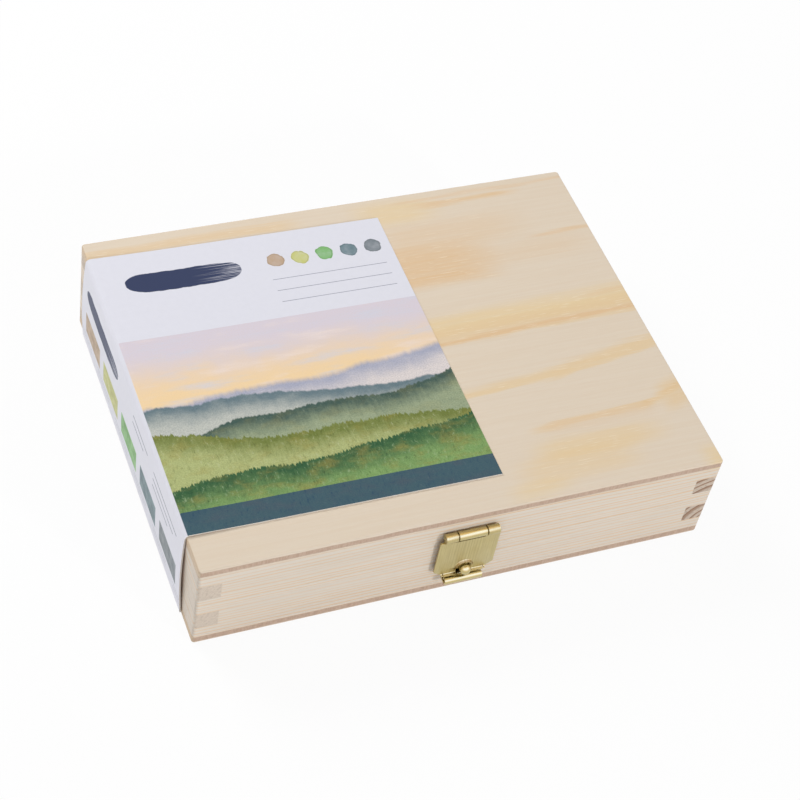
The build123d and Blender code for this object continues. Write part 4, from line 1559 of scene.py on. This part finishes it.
@dataclass
class PaintTubes:
    """Five metal tubes, round at the shoulder and folded flat at the back; millimetres."""

    radius: float = 9.0
    shoulder_y: float = -27.2
    body: float = 78.0
    crimp: float = 6.0
    crimp_thickness: float = 1.6
    shoulder: float = 3.5
    neck_radius: float = 4.2
    neck: float = 9.0
    threads: int = 6
    thread_rise: float = 0.28
    inset: float = 0.03
    body_steps: int = 24
    folds: int = 3
    sides: int = 64

    def ring(
        self, tube: bmesh.types.BMesh, x: float, y: float, half_width: float, half_height: float
    ) -> list[bmesh.types.BMVert]:
        """Ring of points round a tube: an oval that turns into a flat strip with pinched sides.

        Args:
            tube: The edit mesh that takes the points.
            x: The tube's place across the box.
            y: The ring's place along the tube.
            half_width: Half the ring's width.
            half_height: Half its height.

        Returns:
            The points, in order.
        """
        flat = 1 - half_height / half_width
        points = []
        for step in range(self.sides):
            angle = math.tau * step / self.sides
            cosine, sine = math.cos(angle), math.sin(angle)
            spread = math.copysign(abs(cosine) ** (1 - 0.25 * flat), cosine)
            points.append(tube.verts.new((
                (x + half_width * spread) * MM, y * MM, (TUBE_AXIS + half_height * sine) * MM,
            )))
        return points

    def sections(self) -> list[tuple[float, float, float, int]]:
        """Rings from the neck's mouth to the fold: place, half width, half height and finish.

        Returns:
            One row for each ring.
        """
        wide = math.pi * self.radius / 2
        thin = self.crimp_thickness / 2
        neck_y = self.shoulder_y - self.shoulder
        rings = [(neck_y - self.neck, self.neck_radius - 0.5, self.neck_radius - 0.5, 0)]
        for step in range(self.threads * 4):
            wide_here = self.neck_radius - 0.3 + (0.0 if step % 4 in (0, 3) else self.thread_rise)
            at = neck_y - self.neck + 0.4 + step * (self.neck - 1.2) / (self.threads * 4)
            rings.append((at, wide_here, wide_here, 0))
        rings.append((neck_y, self.neck_radius, self.neck_radius, 0))
        rings.append((neck_y + 0.25, self.neck_radius + 0.5, self.neck_radius + 0.5, 0))
        rings.append((self.shoulder_y - 0.5, self.radius - 0.45, self.radius - 0.45, 0))
        rings.append((self.shoulder_y, self.radius - 0.08, self.radius - 0.08, 0))
        rings.append((self.shoulder_y + 0.5, self.radius - 0.02, self.radius - 0.02, 1))
        for step in range(self.body_steps):
            share = (step + 1) / self.body_steps
            rings.append((
                self.shoulder_y + share * self.body,
                self.radius + share * (wide - self.radius) - self.inset,
                self.radius + share * (thin - self.radius) - self.inset * (1 - share), 1,
            ))
        end = self.shoulder_y + self.body
        fold_length = self.crimp / self.folds
        for fold in range(self.folds):
            at = end + fold * fold_length
            rings.append((at + 0.15, wide - 0.05, thin - 0.3, 0))
            rings.append((at + 0.45, wide - 0.02, thin, 0))
            rings.append((at + fold_length - 0.1, wide - 0.02, thin, 0))
        rings.append((end + self.crimp, wide - 0.3, thin - 0.25, 0))
        return rings

    def build(self) -> None:
        """Loft each tube through its rings and close both ends."""
        for number, colour in enumerate(SWATCH_COLOURS):
            x = (number - 2) * TUBE_PITCH
            tube = bmesh.new()
            layer = tube.loops.layers.uv.new("label")
            rings = self.sections()
            rows = [self.ring(tube, x, y, width, height) for y, width, height, _ in rings]
            start, end = self.shoulder_y, self.shoulder_y + self.body
            for (first, second), (one, two) in zip(zip(rows, rows[1:]), zip(rings, rings[1:])):
                for step in range(self.sides):
                    after = (step + 1) % self.sides
                    face = tube.faces.new([first[step], second[step], second[after], first[after]])
                    face.material_index = 1 if one[3] and two[3] else 0
                    turns = (step, step, step + 1, step + 1)
                    for loop, y, turn in zip(face.loops, (one[0], two[0], two[0], one[0]), turns):
                        loop[layer].uv = ((y - start) / (end - start), turn / self.sides)
            tube.faces.new(rows[0])
            tube.faces.new(list(reversed(rows[-1])))
            bmesh.ops.recalc_face_normals(tube, faces=tube.faces)
            mesh = mesh_of(f"tube_{number + 1}", tube)
            label = TubeLabel(f"tube_label_{number + 1}_finish", colour, 7.0 * number)
            piece = object_of(f"tube_{number + 1}", mesh, [TUBE_BARE, label])
            soften(mesh, 35)
            settle(piece, "base", [f"paint_tube_{number + 1}"])


@dataclass
class TubeCaps:
    """Ribbed screw caps; millimetres."""

    base_y: float = -31.1
    radius: float = 7.4
    nose: float = 6.6
    length: float = 13.0
    ribs: int = 24
    groove: float = 0.35
    chamfer: float = 0.7

    def tree(self) -> NodeKit:
        """Geometry tree of one cap: a cone whose wall is pressed in between its ribs.

        Returns:
            The tree.
        """
        kit = NodeKit("ribbed_cap", {
            "Finish": CAP_WHITE, "Radius": self.radius * MM, "Nose": self.nose * MM,
            "Length": self.length * MM, "Ribs": self.ribs, "Groove": self.groove * MM,
            "Chamfer": self.chamfer * MM, "Place": (0.0, 0.0, 0.0),
        })
        graph, given = kit.graph, kit.given
        cone = graph.add("GeometryNodeMeshCone", {
            "Vertices": graph.product(given["Ribs"], 8.0), "Side Segments": 18, "Fill Segments": 2,
            "Radius Top": given["Nose"], "Radius Bottom": given["Radius"], "Depth": given["Length"],
        }).outputs["Mesh"]
        x, y, z = graph.split(graph.add("GeometryNodeInputPosition").outputs[0])
        angle = graph.math("ARCTAN2", y, x)
        reach = graph.math("SQRT", graph.sum(graph.product(x, x), graph.product(y, y)))
        wave = graph.math("ABSOLUTE", graph.math("COSINE", graph.product(angle, given["Ribs"], 0.5)))
        from_rim = graph.math("MINIMUM", z, graph.less(given["Length"], z))
        along = graph.smooth(graph.math("DIVIDE", from_rim, given["Chamfer"]), 0.8, 2.2)
        wall = graph.math("GREATER_THAN", reach, graph.product(given["Nose"], 0.9))
        dip = graph.product(graph.math("POWER", wave, 3.0), given["Groove"], along, wall)
        corner = graph.less(
            1.0, graph.math("MINIMUM", graph.math("DIVIDE", from_rim, given["Chamfer"]), 1.0)
        )
        ease = graph.product(corner, corner, given["Chamfer"], wall, 0.8)
        share = graph.math("DIVIDE", graph.sum(dip, ease), graph.math("MAXIMUM", reach, 0.0001))
        pull = graph.vector(graph.product(x, share, -1.0), graph.product(y, share, -1.0), 0.0)
        shaped = graph.add("GeometryNodeSetPosition", {"Geometry": cone, "Offset": pull}).outputs[0]
        kit.close(kit.moved(shaped, given["Place"], (math.pi / 2, 0.0, 0.0)))
        return kit

    def build(self) -> None:
        """One cap on each tube."""
        kit = self.tree()
        for number in range(len(SWATCH_COLOURS)):
            place = ((number - 2) * TUBE_PITCH * MM, self.base_y * MM, TUBE_AXIS * MM)
            piece = kit.run(f"cap_{number + 1}", CAP_WHITE, Place=place)
            soften(piece.data, 50)
            settle(piece, f"cap_{number + 1}", [f"tube_cap_{number + 1}"])


@dataclass(frozen=True)
class Lamp:
    """Square soft lamp that faces the box: its place and side in metres, and its watts."""

    name: str
    place: Point
    size: float
    power: float

    def build(self) -> None:
        """Add the lamp, which shows in no mirror."""
        data = bpy.data.lights.new(self.name, "AREA")
        data.size = self.size
        data.energy = self.power
        lamp = placed(self.name, data)
        lamp.location = self.place
        lamp.visible_glossy = False
        lamp.rotation_euler = (-Vector(self.place)).to_track_quat("-Z", "Y").to_euler()


LAMPS = (
    Lamp("key_lamp", (1.25, -2.3, 1.05), 0.24, 27.5),
    Lamp("top_lamp", (-0.5, 0.8, 0.8), 0.5, 8.9),
    Lamp("fill_lamp", (-0.3, -1.3, 0.7), 1.4, 1.4),
)


@dataclass
class Studio:
    """Camera, soft lights and a pale floor."""

    position: tuple[float, float, float] = (-0.2002375, -0.3627075, 0.4820359)
    right: tuple[float, float, float] = (0.92886209, -0.34309711, 0.13964091)
    down: tuple[float, float, float] = (-0.17668917, -0.74169629, -0.64704524)
    forward: tuple[float, float, float] = (0.3255705, 0.57634276, -0.74955511)
    focal_pixels: float = 1980.52
    picture: float = 800.0
    sensor: float = 36.0
    floor_reach: float = 6.0
    floor_grey: float = 0.86
    floor_glow: float = 0.93
    even_light: float = 0.50
    mirror_front: tuple[float, ...] = (1.85, 2.1, 3.3, 1)
    mirror_above: tuple[float, ...] = (1.30, 1.02, 0.66, 1)
    mirror_back: tuple[float, ...] = (0.30, 0.26, 0.22, 1)

    def camera(self) -> None:
        """Camera at the photograph's viewpoint."""
        data = bpy.data.cameras.new("studio_camera")
        data.sensor_width = self.sensor
        data.lens = self.focal_pixels / self.picture * self.sensor
        data.clip_start = 0.01
        data.clip_end = 20.0
        camera = placed("studio_camera", data)
        columns = [Vector(self.right), -Vector(self.down), -Vector(self.forward)]
        turn = Matrix(columns).transposed().to_4x4()
        camera.matrix_world = Matrix.Translation(self.position) @ turn
        bpy.context.scene.camera = camera

    def floor(self) -> None:
        """Wide pale floor that shows white to the camera and keeps a soft shadow."""
        mesh = bpy.data.meshes.new("studio_floor")
        reach = self.floor_reach
        corners = [(-reach, -reach, 0), (reach, -reach, 0), (reach, reach, 0), (-reach, reach, 0)]
        mesh.from_pydata(corners, [], [(0, 1, 2, 3)])
        floor = placed("studio_floor", mesh)
        paint = bpy.data.materials.new("studio_floor_paint")
        graph = Graph.of(paint)
        matt = graph.add("ShaderNodeBsdfDiffuse", {"Color": (*[self.floor_grey] * 3, 1)})
        glow = graph.add("ShaderNodeEmission", {"Color": (1, 1, 1, 1), "Strength": 1.0})
        seen = graph.add("ShaderNodeLightPath").outputs
        mirrored = graph.math("MAXIMUM", seen["Is Glossy Ray"], seen["Is Transmission Ray"])
        direct = graph.product(graph.math("MAXIMUM", seen["Is Camera Ray"], mirrored), self.floor_glow)
        mixed = graph.add("ShaderNodeMixShader", {0: direct, 1: matt.outputs[0], 2: glow.outputs[0]})
        graph.add("ShaderNodeOutputMaterial", {"Surface": mixed.outputs[0]})
        mesh.materials.append(paint)

    def world(self) -> None:
        """Even pale surroundings for soft light, and a bright front with dim heights for mirrors."""
        world = bpy.data.worlds.new("studio_world")
        bpy.context.scene.world = world
        graph = Graph.of(world)
        direction = graph.add("ShaderNodeTexCoord").outputs["Generated"]
        _, back, up = graph.split(direction)
        low_down = graph.less(1.0, graph.smooth(up, 0.25, 0.85))
        behind = graph.product(graph.smooth(back, 0.1, 0.75), low_down)
        before = graph.product(graph.smooth(graph.product(back, -1.0), 0.2, 0.9), low_down)
        even = graph.sum(self.even_light, graph.product(behind, -0.10), graph.product(before, 0.15))
        ahead = graph.smooth(graph.product(back, -1.0), 0.0, 0.4)
        lobe = graph.product(
            ahead, graph.smooth(up, -0.1, 0.62), graph.less(1.0, graph.smooth(up, 0.84, 0.97))
        )
        rear = graph.product(
            graph.smooth(back, 0.15, 0.45), graph.less(1.0, graph.smooth(up, 0.88, 0.98))
        )
        dim = graph.mix(rear, self.mirror_above, self.mirror_back)
        mirrored = graph.mix(lobe, dim, self.mirror_front)
        seen = graph.add("ShaderNodeLightPath").outputs
        tint = graph.mix(seen["Is Glossy Ray"], (1, 1, 1, 1), mirrored)
        strength = graph.math(
            "MAXIMUM", even, graph.math("MAXIMUM", seen["Is Camera Ray"], seen["Is Glossy Ray"])
        )
        ground = graph.add("ShaderNodeBackground", {"Color": tint, "Strength": strength})
        graph.add("ShaderNodeOutputWorld", {"Surface": ground.outputs[0]})

    def build(self) -> None:
        """Set up the whole studio."""
        bpy.context.scene.view_settings.view_transform = "Standard"
        self.camera()
        self.floor()
        self.world()
        for lamp in LAMPS:
            lamp.build()


def main() -> None:
    """Build every sub-assembly in order, then the studio."""
    for name in ("Cube", "Camera", "Light"):
        if name in bpy.data.objects:
            bpy.data.objects.remove(bpy.data.objects[name])
    for part in (
        WoodenBox(), BrassFittings(), Screws(), CardCover(), Dividers(), PaintTubes(), TubeCaps()
    ):
        log.info("building %s", type(part).__name__)
        part.build()
    Studio().build()


if __name__ == "__main__":
    main()
